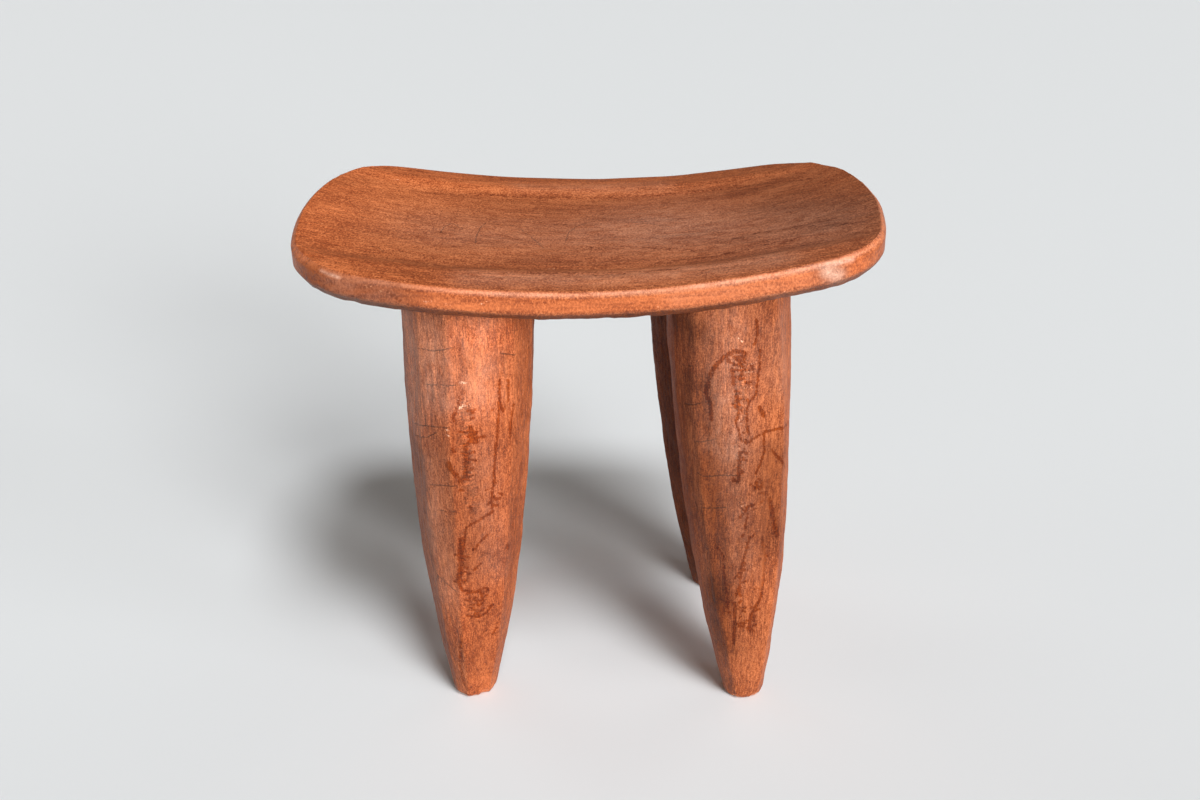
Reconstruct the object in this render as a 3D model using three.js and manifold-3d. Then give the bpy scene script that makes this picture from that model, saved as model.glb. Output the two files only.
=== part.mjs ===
// A carved four-legged stool: a dished seat, four tapering legs that each end in a round tenon,
// and a hidden wedge in the head of each tenon.
// Sizes are in millimetres. +X runs along the seat, +Y to its back and +Z up. The origin is on
// the floor, under the middle of the seat.

import * as THREE from 'three';
import Module from 'manifold-3d';

// Seat outline: four shallow side arcs, each bulging by its bow, joined by four corner arcs
const seatLength = 450;
const seatDepth = 320;
const frontBow = 11.7;
const rightBow = 24.9;
const backBow = 11;
const leftBow = 23;
const frontRightCorner = 54;
const backRightCorner = 92;
const backLeftCorner = 79;
const frontLeftCorner = 63;

// Seat lengthwise: the rim is lowest at mid-length and sweeps up to both ends. The plank has a
// slight twist, which lifts the front-right and back-left corners and drops the other two.
const rimHeight = 389;
const endRise = 27.2;
const riseCurve = 2;
const cornerTwist = 2.4;

// Seat section: rounded edges, a flat margin along front and back, a shallow hollow between
const rimThickness = 21.6;
const topArrisRadius = 6;
const bottomArrisRadius = 7;
const marginWidth = 40;
const marginCrown = 1.5;
const hollowSlope = 26;
const hollowDepth = 5;
const hollowEndCurve = 4;
const bellyDepth = 18;

// Legs: round in plan at the head, thinning to the foot ever faster, cut flat in long facets
const headRadius = 49.7;
const footRadius = 18.2;
const taperCurve = 2.45;
const facetFlatness = 0.65;
const footEdgeHeight = 4.5;
const footEdgeInset = 1.8;
const footEdgeBreak = 1 / 3;

// Where the legs stand: each head's centre is set in from the seat's end and edge, and its foot
// splays outwards from there
const frontLeftFromEnd = 133.8;
const frontLeftFromEdge = 72.2;
const frontLeftSplayAlong = 17.3;
const frontLeftSplayAcross = -10.8;
const frontRightFromEnd = 123.3;
const frontRightFromEdge = 71.9;
const frontRightSplayAlong = 22.8;
const frontRightSplayAcross = -1.1;
const rearFromEnd = 128.6;
const rearFromEdge = 71.7;
const rearSplayAlong = 14.6;
const rearSplayAcross = -3.5;

// Tenon on each leg's head, spread sideways by its wedge inside a socket of the same flare. The
// wedge is short enough for its kerf to end above the sloping shoulder.
const tenonRadius = 25;
const tenonLength = 20;
const tenonRoot = 10;
const tenonSpread = 2;
const wedgeLength = 14;
const wedgeSetback = 2.5;
const wedgeHeadThickness = 6;
const wedgeTipThickness = 1.6;
const fitGap = 0.3;

// Widths of a leg's facets in degrees, from its first arris anticlockwise seen from above. The
// front right leg has a broader facet to the front than the others.
const usualFacets = [30, 60, 43, 45, 50, 45, 45, 42];
const frontRightFacets = [30, 80, 34, 46, 45, 42, 42, 41];

// Each leg by the seat's end and edge that it stands at. firstArris is that arris's direction in
// degrees from the front towards the right, and twist turns it further towards the foot.
const legPlans = [
  {
    name: 'front_left',
    end: -1,
    edge: -1,
    fromEnd: frontLeftFromEnd,
    fromEdge: frontLeftFromEdge,
    splayAlong: frontLeftSplayAlong,
    splayAcross: frontLeftSplayAcross,
    girth: 1,
    firstArris: -43,
    twist: 0,
    facetWidths: usualFacets,
  },
  {
    name: 'front_right',
    end: 1,
    edge: -1,
    fromEnd: frontRightFromEnd,
    fromEdge: frontRightFromEdge,
    splayAlong: frontRightSplayAlong,
    splayAcross: frontRightSplayAcross,
    girth: 0.945,
    firstArris: -68,
    twist: 8,
    facetWidths: frontRightFacets,
  },
  {
    name: 'rear_right',
    end: 1,
    edge: 1,
    fromEnd: rearFromEnd,
    fromEdge: rearFromEdge,
    splayAlong: rearSplayAlong,
    splayAcross: rearSplayAcross,
    girth: 1.02,
    firstArris: -37,
    twist: 6,
    facetWidths: usualFacets,
  },
  {
    name: 'rear_left',
    end: -1,
    edge: 1,
    fromEnd: rearFromEnd,
    fromEdge: rearFromEdge,
    splayAlong: rearSplayAlong,
    splayAcross: rearSplayAcross,
    girth: 1,
    firstArris: -50,
    twist: -6,
    facetWidths: usualFacets,
  },
];

// Fineness of the surfaces: steps round each arc, facet and tenon, the levels of a leg's
// sections as shares of its height, and the sizes of the seat's rings as shares of its outline
const longSideSteps = 16;
const shortSideSteps = 8;
const cornerSteps = 8;
const arrisSteps = 3;
const facetSteps = 3;
const tenonSides = 32;
const legHeights = [0, 0.07, 0.14, 0.22, 0.31, 0.41, 0.52, 0.64, 0.77, 1];
const topRingScales = [0.95, 0.88, 0.81, 0.74, 0.67, 0.59, 0.48, 0.34, 0.18];
const undersideRingScales = [1, 0.9, 0.78, 0.64, 0.48, 0.3];

// Finishes
const seatFinish = { color: 0xac6841, roughness: 0.42, metalness: 0 };
const legFinish = { color: 0xbd6f47, roughness: 0.5, metalness: 0 };
const wedgeFinish = { color: 0x9a6238, roughness: 0.7, metalness: 0 };

const wasm = await Module();
wasm.setup();

// Seat outline

// The circle of a side arc that runs between two corner points and bulges out by the bow
function sideArc(from, to, bow, steps) {
  const chord = to.clone().sub(from);
  const halfChord = chord.length() / 2;
  const radius = (halfChord * halfChord + bow * bow) / (2 * bow);
  const outward = new THREE.Vector2(chord.y, -chord.x).normalize();
  const middle = from.clone().add(to).divideScalar(2);
  const centre = middle.addScaledVector(outward, bow - radius);
  return { centre, radius, steps };
}

// The centre of the corner arc that touches two neighbouring side arcs from inside
function cornerCentre(before, after, radius, corner) {
  const reachBefore = before.radius - radius;
  const reachAfter = after.radius - radius;
  const between = after.centre.clone().sub(before.centre);
  const gap = between.length();
  const along = (reachBefore ** 2 - reachAfter ** 2 + gap ** 2) / (2 * gap);
  const off = Math.sqrt(Math.max(reachBefore ** 2 - along ** 2, 0));
  const foot = before.centre.clone().addScaledVector(between, along / gap);
  const normal = new THREE.Vector2(-between.y, between.x).divideScalar(gap);
  const options = [off, -off].map((reach) => foot.clone().addScaledVector(normal, reach));
  options.sort((a, b) => a.distanceTo(corner) - b.distanceTo(corner));
  return options[0];
}

const outlineLeft = -seatLength / 2 + leftBow;
const outlineRight = seatLength / 2 - rightBow;
const outlineFront = -seatDepth / 2 + frontBow;
const outlineBack = seatDepth / 2 - backBow;
const outlineCorners = [
  new THREE.Vector2(outlineLeft, outlineFront),
  new THREE.Vector2(outlineRight, outlineFront),
  new THREE.Vector2(outlineRight, outlineBack),
  new THREE.Vector2(outlineLeft, outlineBack),
];
const sides = [
  sideArc(outlineCorners[0], outlineCorners[1], frontBow, longSideSteps),
  sideArc(outlineCorners[1], outlineCorners[2], rightBow, shortSideSteps),
  sideArc(outlineCorners[2], outlineCorners[3], backBow, longSideSteps),
  sideArc(outlineCorners[3], outlineCorners[0], leftBow, shortSideSteps),
];
const cornerRadii = [frontRightCorner, backRightCorner, backLeftCorner, frontLeftCorner];
const corners = cornerRadii.map((radius, index) => {
  const next = (index + 1) % sides.length;
  const centre = cornerCentre(sides[index], sides[next], radius, outlineCorners[next]);
  return { centre, radius, steps: cornerSteps };
});

// Points along one arc between two directions, without the last
function arcPoints(arc, inset, startAngle, endAngle) {
  const turn = THREE.MathUtils.euclideanModulo(endAngle - startAngle, 2 * Math.PI);
  const radius = arc.radius - inset;
  const { x, y } = arc.centre;
  const curve = new THREE.EllipseCurve(x, y, radius, radius, startAngle, startAngle + turn);
  return curve.getPoints(arc.steps).slice(0, -1);
}

// The closed outline, set in all round by an inset, anticlockwise seen from above
function outlinePoints(inset) {
  const points = [];
  sides.forEach((side, index) => {
    const next = (index + 1) % sides.length;
    const cornerBefore = corners[(index + sides.length - 1) % sides.length];
    const cornerAfter = corners[index];
    const start = cornerBefore.centre.clone().sub(side.centre).angle();
    const end = cornerAfter.centre.clone().sub(side.centre).angle();
    const nextStart = cornerAfter.centre.clone().sub(sides[next].centre).angle();
    points.push(...arcPoints(side, inset, start, end));
    points.push(...arcPoints(cornerAfter, inset, end, nextStart));
  });
  return points;
}

// Seat surfaces

function rimLine(x, y) {
  const along = (2 * x) / seatLength;
  const across = (2 * y) / seatDepth;
  return rimHeight + endRise * Math.abs(along) ** riseCurve - cornerTwist * along * across;
}

function topHeight(x, y) {
  const fromEdge = seatDepth / 2 - Math.abs(y);
  const edgeward = 1 - THREE.MathUtils.clamp(fromEdge / marginWidth, 0, 1);
  const crown = marginCrown * (1 - edgeward ** 2);
  const hollow = THREE.MathUtils.smoothstep(fromEdge, marginWidth, marginWidth + hollowSlope);
  const endFade = 1 - Math.abs((2 * x) / seatLength) ** hollowEndCurve;
  return rimLine(x, y) + crown - hollowDepth * hollow * endFade;
}

function undersideHeight(x, y) {
  const along = x / (seatLength / 2 - bottomArrisRadius);
  const across = y / (seatDepth / 2 - bottomArrisRadius);
  const belly = bellyDepth * (1 - along ** 2) * (1 - across ** 2);
  return rimLine(x, y) - rimThickness - belly;
}

// Meshes from rings

// A closed body through rings of equally many points, listed from the top down, each ring
// anticlockwise seen from above, with a fan to a middle point at both ends
function loft(rings, topMiddle, bottomMiddle) {
  const count = rings[0].length;
  const points = [...rings.flat(), topMiddle, bottomMiddle];
  const topIndex = points.length - 2;
  const bottomIndex = points.length - 1;
  const lastRing = (rings.length - 1) * count;
  const triangles = [];
  for (let step = 0; step < count; step += 1) {
    const next = (step + 1) % count;
    triangles.push(topIndex, step, next);
    triangles.push(bottomIndex, lastRing + next, lastRing + step);
    for (let ring = 0; ring < lastRing; ring += count) {
      triangles.push(ring + step, ring + count + step, ring + count + next);
      triangles.push(ring + step, ring + count + next, ring + next);
    }
  }
  const geometry = new THREE.BufferGeometry().setFromPoints(points);
  geometry.setIndex(triangles);
  return geometry;
}

function solidFrom(geometry) {
  const vertProperties = new Float32Array(geometry.attributes.position.array);
  const triVerts = new Uint32Array(geometry.index.array);
  return new wasm.Manifold(new wasm.Mesh({ numProp: 3, vertProperties, triVerts }));
}

function geometryFrom(solid) {
  const mesh = solid.getMesh();
  const geometry = new THREE.BufferGeometry();
  geometry.setAttribute('position', new THREE.BufferAttribute(mesh.vertProperties, 3));
  geometry.setIndex(new THREE.BufferAttribute(mesh.triVerts, 1));
  geometry.computeVertexNormals();
  return geometry;
}

// Seat

// The outline, shrunk towards the middle by a scale, lying on a surface
function ringOn(surface, inset, scale) {
  return outlinePoints(inset).map((point) => {
    const x = point.x * scale;
    const y = point.y * scale;
    return new THREE.Vector3(x, y, surface(x, y));
  });
}

// The rounded edge from the top down: a quarter round, the upright face, a quarter round
function edgeRings() {
  const rings = [];
  for (let step = 1; step <= arrisSteps; step += 1) {
    const angle = (step / arrisSteps) * (Math.PI / 2);
    const inset = topArrisRadius * (1 - Math.sin(angle));
    const drop = topArrisRadius * (1 - Math.cos(angle));
    rings.push(ringOn((x, y) => rimLine(x, y) - drop, inset, 1));
  }
  for (let step = 0; step < arrisSteps; step += 1) {
    const angle = (step / arrisSteps) * (Math.PI / 2);
    const inset = bottomArrisRadius * (1 - Math.cos(angle));
    const drop = rimThickness - bottomArrisRadius * (1 - Math.sin(angle));
    rings.push(ringOn((x, y) => rimLine(x, y) - drop, inset, 1));
  }
  return rings;
}

const undersideRings = undersideRingScales.map((scale) => {
  return ringOn(undersideHeight, bottomArrisRadius, scale);
});
const undersideMiddle = new THREE.Vector3(0, 0, undersideHeight(0, 0));

function seatBlank() {
  const topRings = topRingScales.map((scale) => ringOn(topHeight, topArrisRadius, scale));
  const rings = [
    ...topRings.reverse(),
    ringOn(topHeight, topArrisRadius, 1),
    ...edgeRings(),
    ...undersideRings,
  ];
  const topMiddle = new THREE.Vector3(0, 0, topHeight(0, 0));
  return solidFrom(loft(rings, topMiddle, undersideMiddle));
}

// Everything above the seat's underside, lowered by the fit gap, which trims each leg's head
function headTrimmer() {
  const lowered = undersideRings.map((ring) => {
    return ring.map((point) => new THREE.Vector3(point.x, point.y, point.z - fitGap));
  });
  const ceiling = rimHeight + endRise + rimThickness;
  const topRing = undersideRings[0].map((point) => new THREE.Vector3(point.x, point.y, ceiling));
  const topMiddle = new THREE.Vector3(0, 0, ceiling);
  const bottomMiddle = undersideMiddle.clone().setZ(undersideMiddle.z - fitGap);
  return solidFrom(loft([topRing, ...lowered], topMiddle, bottomMiddle));
}

// Legs

// Where a leg's axis meets the floor and the seat's underside, and how it leans
function legAxis(plan) {
  const headX = plan.end * (seatLength / 2 - plan.fromEnd);
  const headY = plan.edge * (seatDepth / 2 - plan.fromEdge);
  const footX = headX + plan.end * plan.splayAlong;
  const footY = headY + plan.edge * plan.splayAcross;
  const head = new THREE.Vector3(headX, headY, undersideHeight(headX, headY));
  const foot = new THREE.Vector3(footX, footY, 0);
  const lean = head.clone().sub(foot).normalize();
  const turn = new THREE.Quaternion().setFromUnitVectors(new THREE.Vector3(0, 0, 1), lean);
  return { head, foot, turn };
}

// Directions round a leg in radians, with each one's share of the radius left by the facets
function facetPoints(facetWidths) {
  const points = [];
  let arris = 0;
  facetWidths.forEach((width) => {
    const half = THREE.MathUtils.degToRad(width / 2);
    for (let step = 0; step < facetSteps; step += 1) {
      const off = half * ((2 * step) / facetSteps - 1);
      const chordShare = Math.cos(half) / Math.cos(off);
      const share = 1 - facetFlatness * (1 - chordShare);
      points.push({ angle: THREE.MathUtils.degToRad(arris) + half + off, share });
    }
    arris += width;
  });
  return points;
}

// One level section of a leg, at a share of the height from foot to head
function legRing(plan, axis, height, inset) {
  const thinning = (1 - Math.min(height, 1)) ** taperCurve;
  const radius = plan.girth * (headRadius - (headRadius - footRadius) * thinning) - inset;
  const centre = axis.foot.clone().lerp(axis.head, height);
  const front = -Math.PI / 2;
  const start = front + THREE.MathUtils.degToRad(plan.firstArris + plan.twist * (1 - height));
  return facetPoints(plan.facetWidths).map(({ angle, share }) => {
    const x = centre.x + radius * share * Math.cos(start + angle);
    const y = centre.y + radius * share * Math.sin(start + angle);
    return new THREE.Vector3(x, y, centre.z);
  });
}

// A leg with a rounded foot edge, running on past the seat's underside
function legBlank(plan, axis) {
  const edgeHeight = footEdgeHeight / axis.head.z;
  const overrun = 1 + rimThickness / axis.head.z;
  const heights = legHeights.map((height) => edgeHeight + (1 - edgeHeight) * height);
  const rings = [
    legRing(plan, axis, overrun, 0),
    ...heights.reverse().map((height) => legRing(plan, axis, height, 0)),
    legRing(plan, axis, edgeHeight * footEdgeBreak, footEdgeInset * footEdgeBreak),
    legRing(plan, axis, 0, footEdgeInset),
  ];
  const topMiddle = axis.foot.clone().lerp(axis.head, overrun);
  return solidFrom(loft(rings, topMiddle, axis.foot));
}

// Joints

// The tenon's round body, from its root inside the leg up to its spread end. The clearance
// makes the socket: it widens the body and raises its end.
function plug(axis, clearance) {
  const sections = [
    { rise: tenonLength + clearance, spread: tenonSpread },
    { rise: 0, spread: 0 },
    { rise: -tenonRoot, spread: 0 },
  ];
  const rings = sections.map(({ rise, spread }) => {
    const ring = [];
    for (let side = 0; side < tenonSides; side += 1) {
      const angle = (side / tenonSides) * 2 * Math.PI;
      const x = (tenonRadius + clearance + spread) * Math.cos(angle);
      const y = (tenonRadius + clearance) * Math.sin(angle);
      ring.push(new THREE.Vector3(x, y, rise));
    }
    return ring;
  });
  const topMiddle = new THREE.Vector3(0, 0, sections[0].rise);
  const geometry = loft(rings, topMiddle, new THREE.Vector3(0, 0, -tenonRoot));
  return solidFrom(placeOnAxis(geometry, axis));
}

function placeOnAxis(geometry, axis) {
  geometry.applyQuaternion(axis.turn);
  geometry.translate(axis.head.x, axis.head.y, axis.head.z);
  return geometry;
}

// A wedge that is thick at the tenon's end and thin at its tip, grown all round by a clearance
function wedgeShape(clearance, width) {
  const tip = tenonLength - wedgeLength - clearance;
  const halfHead = wedgeHeadThickness / 2 + clearance;
  const halfTip = wedgeTipThickness / 2 + clearance;
  const end = tenonLength + clearance;
  const rings = [
    { half: halfHead, rise: end },
    { half: halfTip, rise: tip },
  ].map(({ half, rise }) => [
    new THREE.Vector3(-half, -width / 2, rise),
    new THREE.Vector3(half, -width / 2, rise),
    new THREE.Vector3(half, width / 2, rise),
    new THREE.Vector3(-half, width / 2, rise),
  ]);
  return loft(rings, new THREE.Vector3(0, 0, end), new THREE.Vector3(0, 0, tip));
}

// The slot sawn right across the tenon's end for its wedge
function kerf(axis) {
  const width = 2 * (tenonRadius + fitGap);
  return solidFrom(placeOnAxis(wedgeShape(fitGap, width), axis));
}

// Assembly

function makeMesh(name, geometry, finish) {
  const mesh = new THREE.Mesh(geometry, new THREE.MeshStandardMaterial(finish));
  mesh.name = name;
  return mesh;
}

const stool = new THREE.Group();
const trimmer = headTrimmer();
let seat = seatBlank();

legPlans.forEach((plan) => {
  const axis = legAxis(plan);
  seat = seat.subtract(plug(axis, fitGap));

  const leg = legBlank(plan, axis).subtract(trimmer).add(plug(axis, 0)).subtract(kerf(axis));
  const legGeometry = geometryFrom(leg).translate(-axis.foot.x, -axis.foot.y, 0);
  const legMesh = makeMesh(`leg_${plan.name}`, legGeometry, legFinish);

  const wedgeGeometry = wedgeShape(0, 2 * (tenonRadius - wedgeSetback));
  const wedgeMesh = makeMesh(`wedge_${plan.name}`, wedgeGeometry, wedgeFinish);
  wedgeMesh.position.copy(axis.head).sub(axis.foot);
  wedgeMesh.quaternion.copy(axis.turn);

  const legGroup = new THREE.Group();
  legGroup.position.copy(axis.foot);
  legGroup.add(legMesh, wedgeMesh);
  stool.add(legGroup);
});

stool.add(makeMesh('seat', geometryFrom(seat), seatFinish));

export default stool;
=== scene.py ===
"""Looks of a carved wooden stool: a dished seat on four faceted legs, dressed over its frame."""

import contextlib
import logging
import math
from collections.abc import Callable, Iterator, Sequence
from dataclasses import dataclass, fields, replace
from enum import Enum

import bmesh
import bpy
import numpy as np
from mathutils import Matrix, Vector


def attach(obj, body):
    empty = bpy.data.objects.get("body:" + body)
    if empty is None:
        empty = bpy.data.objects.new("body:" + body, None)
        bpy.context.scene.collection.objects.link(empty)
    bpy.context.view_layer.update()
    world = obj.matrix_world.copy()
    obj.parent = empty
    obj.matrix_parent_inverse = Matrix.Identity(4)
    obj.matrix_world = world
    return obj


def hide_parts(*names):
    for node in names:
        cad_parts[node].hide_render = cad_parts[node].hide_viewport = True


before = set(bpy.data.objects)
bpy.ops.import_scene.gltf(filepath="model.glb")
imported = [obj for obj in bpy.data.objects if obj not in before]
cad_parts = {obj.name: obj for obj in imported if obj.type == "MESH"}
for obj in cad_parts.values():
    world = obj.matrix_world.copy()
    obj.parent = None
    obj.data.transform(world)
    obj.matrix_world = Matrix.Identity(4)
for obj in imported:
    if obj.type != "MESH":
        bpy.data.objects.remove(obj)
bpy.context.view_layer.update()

log = logging.getLogger("stool")

MM = 0.001
FIT_GAP = 0.3
TOUCHING = 0.01
CHECK_REACH = 3.0
SMOOTH_BELOW = math.radians(38)
Point = tuple[float, float]
Colour = tuple[float, float, float, float]
Socket = bpy.types.NodeSocket
Number = float | Socket


def smoothstep(values: np.ndarray, low: float, high: float) -> np.ndarray:
    """Eases values from 0 at the low limit to 1 at the high one."""
    share = np.clip((values - low) / (high - low), 0.0, 1.0)
    return share * share * (3.0 - 2.0 * share)


def wrapped(degrees: np.ndarray) -> np.ndarray:
    """Brings directions into the range from -180 to 180 degrees."""
    return (degrees + 180.0) % 360.0 - 180.0


def colour(red: int, green: int, blue: int) -> Colour:
    """Turns a screen colour of 0 to 255 into the linear one that shaders take.

    Args:
        red: Red, 0 to 255.
        green: Green, 0 to 255.
        blue: Blue, 0 to 255.

    Returns:
        Linear red, green, blue and a full alpha.
    """
    linear = []
    for channel in (red, green, blue):
        share = channel / 255.0
        linear.append(share / 12.92 if share <= 0.04045 else ((share + 0.055) / 1.055) ** 2.4)
    return (linear[0], linear[1], linear[2], 1.0)


# Handling of pieces


def deselect_all() -> None:
    """Leaves no object selected."""
    bpy.ops.object.select_all(action="DESELECT")


def pick_up(piece: bpy.types.Object) -> None:
    """Makes one object the only selected and the active one.

    Args:
        piece: The object.
    """
    deselect_all()
    piece.select_set(True)
    bpy.context.view_layer.objects.active = piece


@contextlib.contextmanager
def editing(piece: bpy.types.Object) -> Iterator[None]:
    """Opens a piece in edit mode and closes it afterwards.

    Args:
        piece: The object to edit.
    """
    pick_up(piece)
    bpy.ops.object.mode_set(mode="EDIT")
    try:
        yield
    finally:
        bpy.ops.object.mode_set(mode="OBJECT")


def read_rows(values: bpy.types.bpy_prop_collection, name: str) -> np.ndarray:
    """Reads three numbers for each of a mesh's elements.

    Args:
        values: The mesh's vertices or vertex normals.
        name: The property that holds the numbers.

    Returns:
        One row for each element.
    """
    flat = np.empty(len(values) * 3, np.float32)
    values.foreach_get(name, flat)
    return flat.reshape(-1, 3).astype(float)


def read_points(piece: bpy.types.Object) -> np.ndarray:
    """Gives a piece's vertices, one row each, in millimetres."""
    return read_rows(piece.data.vertices, "co") / MM


def read_normals(piece: bpy.types.Object) -> np.ndarray:
    """Gives the direction that a piece's surface faces at each vertex."""
    return read_rows(piece.data.vertex_normals, "vector")


def write_points(piece: bpy.types.Object, points: np.ndarray) -> None:
    """Moves a piece's vertices to new places, one row each, in millimetres."""
    piece.data.vertices.foreach_set("co", (points * MM).astype(np.float32).ravel())
    piece.data.update()


def select_points(piece: bpy.types.Object, chosen: Sequence[bool]) -> None:
    """Selects some vertices, with the edges and faces between them, in edit mode.

    Args:
        piece: The object, which is in edit mode.
        chosen: True for each vertex to select.
    """
    bpy.ops.mesh.select_mode(type="VERT")
    bpy.ops.mesh.select_all(action="DESELECT")
    shape = bmesh.from_edit_mesh(piece.data)
    for vertex, wanted in zip(shape.verts, chosen):
        if wanted:
            vertex.select = True
    shape.select_flush(True)
    bmesh.update_edit_mesh(piece.data)


def levels(piece: bpy.types.Object) -> np.ndarray:
    """Gives the height of each vertex of a piece in edit mode, in millimetres."""
    shape = bmesh.from_edit_mesh(piece.data)
    return np.array([vertex.co.z for vertex in shape.verts]) / MM


def store(piece: bpy.types.Object, layers: dict[str, np.ndarray]) -> None:
    """Keeps numbers at a piece's vertices for the finish to read.

    Args:
        piece: The object.
        layers: One number for each vertex under each attribute's name.
    """
    for name, values in layers.items():
        layer = piece.data.attributes.new(name, "FLOAT", "POINT")
        layer.data.foreach_set("value", values.astype(np.float32))


def close_up(piece: bpy.types.Object) -> None:
    """Merges a piece's doubles and turns its faces outwards.

    Args:
        piece: The object.
    """
    with editing(piece):
        bpy.ops.mesh.select_all(action="SELECT")
        bpy.ops.mesh.remove_doubles(threshold=TOUCHING * MM)
        bpy.ops.mesh.normals_make_consistent(inside=False)


class Joinery(Enum):
    """What a tool does to a piece, by the Boolean modifier's own names."""

    JOIN = "UNION"
    CUT = "DIFFERENCE"


def work(piece: bpy.types.Object, tool: bpy.types.Object, joinery: Joinery) -> None:
    """Joins a tool to a piece or cuts it out of the piece, and puts the tool away.

    Args:
        piece: The piece that is changed.
        tool: The solid that joins or cuts, which is removed.
        joinery: What the tool does.
    """
    pick_up(piece)
    modifier = piece.modifiers.new("joint", "BOOLEAN")
    modifier.solver = "MANIFOLD"
    modifier.operation = joinery.value
    modifier.object = tool
    bpy.ops.object.modifier_apply(modifier=modifier.name)
    bpy.data.objects.remove(tool)


def dress(piece: bpy.types.Object, finish: bpy.types.Material) -> None:
    """Smooths a piece's shading and gives it its finish.

    Args:
        piece: The finished mesh.
        finish: Its material.
    """
    pick_up(piece)
    bpy.ops.object.shade_smooth_by_angle(angle=SMOOTH_BELOW)
    piece.data.materials.clear()
    piece.data.materials.append(finish)


# Hand work: unevenness and marks


@dataclass(frozen=True)
class Undulation:
    """The gentle unevenness that a hand tool leaves, as a sum of seeded waves.

    Attributes:
        height: Its usual height in mm.
        lengths: The usual length of its waves along X, Y and Z in mm.
        seed: The seed of its waves.
        waves: How many waves it adds up.
    """

    height: float
    lengths: tuple[float, float, float]
    seed: int
    waves: int = 16

    def at(self, points: np.ndarray, shift: int = 0) -> np.ndarray:
        """Gives the height at each point in mm.

        Args:
            points: Places in mm, one row each.
            shift: What is added to the seed, so that no two pieces have the same waves.

        Returns:
            One height for each point, as often below zero as above.
        """
        random = np.random.default_rng(self.seed + shift)
        numbers = random.normal(size=(self.waves, 3)) * (2 * math.pi / np.array(self.lengths))
        phases = random.uniform(0.0, 2 * math.pi, self.waves)
        total = np.zeros(len(points))
        for number, phase in zip(numbers, phases):
            total += np.sin(points @ number + phase)
        return self.height * total / math.sqrt(self.waves / 2)


@dataclass(frozen=True)
class Stroke:
    """One mark drawn on a surface.

    Attributes:
        points: Its route, as direction and height on a leg, in plan on the seat's top, or as
            the place along the seat and the height on its front edge.
        width: Its width in mm.
        strength: How strongly it shows, up to 1. Painted light and shade has its own range:
        1 doubles the brightness and -1 halves it.
    """

    points: tuple[Point, ...]
    width: float = 1.8
    strength: float = 1.0

    def mirrored(self, share: float) -> "Stroke":
        """Gives the mark with left and right changed over, at a share of its strength."""
        flipped = tuple((-across, up) for across, up in self.points)
        return replace(self, points=flipped, strength=share * self.strength)


def strokes(*routes: Sequence[Point], width: float = 1.8, strength: float = 1.0) -> list[Stroke]:
    """Draws several marks of one width and strength, each along a route of its own."""
    return [Stroke(tuple(route), width, strength) for route in routes]


def ladder(
    foot: Point, rise: float, count: int, length: float, strength: float = 0.7
) -> list[Stroke]:
    """Draws a column of short dashes across the fibres, one above the other.

    Args:
        foot: The lowest dash's left end.
        rise: The height from one dash to the next in mm.
        count: How many dashes there are.
        length: Their usual length in degrees.
        strength: How strongly they show.

    Returns:
        The dashes, each a little out of line and out of level.
    """
    random = np.random.default_rng(int(foot[1]) + count)
    out_of_line, out_of_level, slant, width = 2.5, 0.4, 1.6, 1.5
    dashes = []
    for step in range(count):
        across = foot[0] + random.uniform(-out_of_line, out_of_line)
        up = foot[1] + step * rise + random.uniform(-out_of_level, out_of_level)
        reach = length * random.uniform(0.6, 1.2)
        end = (across + reach, up + random.uniform(0.0, slant))
        dashes.append(Stroke(((across, up), end), width, strength * random.uniform(0.7, 1.0)))
    return dashes


def flecks(
    route: Sequence[Point], spread: Point, count: int, length: float, strength: float = 0.8
) -> list[Stroke]:
    """Scatters short dark flecks of figured grain about a route.

    Args:
        route: The route that they gather on.
        spread: How far they stray from it, in degrees and in mm.
        count: How many flecks there are.
        length: The longest fleck in degrees.
        strength: How strongly the strongest shows.

    Returns:
        The flecks, most of them across the fibres.
    """
    random = np.random.default_rng(int(route[0][1]) + count)
    slant = 2.5
    knots = np.array(route, float)
    scattered = []
    for _ in range(count):
        way = random.uniform(0, len(knots) - 1)
        before = int(way)
        place = knots[before] + (knots[before + 1] - knots[before]) * (way - before)
        place += random.normal(size=2) * spread
        reach = length * random.uniform(0.3, 1.0)
        end = place + (reach, random.uniform(-slant, slant))
        width = random.uniform(1.4, 2.8)
        drawn = (tuple(place), tuple(end))
        scattered.append(Stroke(drawn, width, strength * random.uniform(0.55, 1.0)))
    return scattered


@dataclass(frozen=True)
class Marks:
    """The marks on one side of a piece.

    Attributes:
        stains: Soft dark red lines and blotches of the figured grain.
        checks: Hair-thin dark cracks.
        scuffs: Pale dashes where the surface is torn or scratched.
        shines: Narrow pale bands where the surface is rubbed.
        ripples: Places with fine ripples across the fibres.
    """

    stains: Sequence[Stroke] = ()
    checks: Sequence[Stroke] = ()
    # shines: Narrow pale bands of wear, and painted highlights along arrises.
    scuffs: Sequence[Stroke] = ()
    shines: Sequence[Stroke] = ()
    ripples: Sequence[Stroke] = ()

    def mirrored(self, share: float = 1.0) -> "Marks":
        """Gives the marks with left and right changed over, at a share of their strength."""
        changed = {
            field.name: [mark.mirrored(share) for mark in getattr(self, field.name)]
            for field in fields(self)
        }
        return Marks(**changed)


def as_drawn(route: np.ndarray) -> np.ndarray:
    """Leaves flat places as they are."""
    return route


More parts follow.
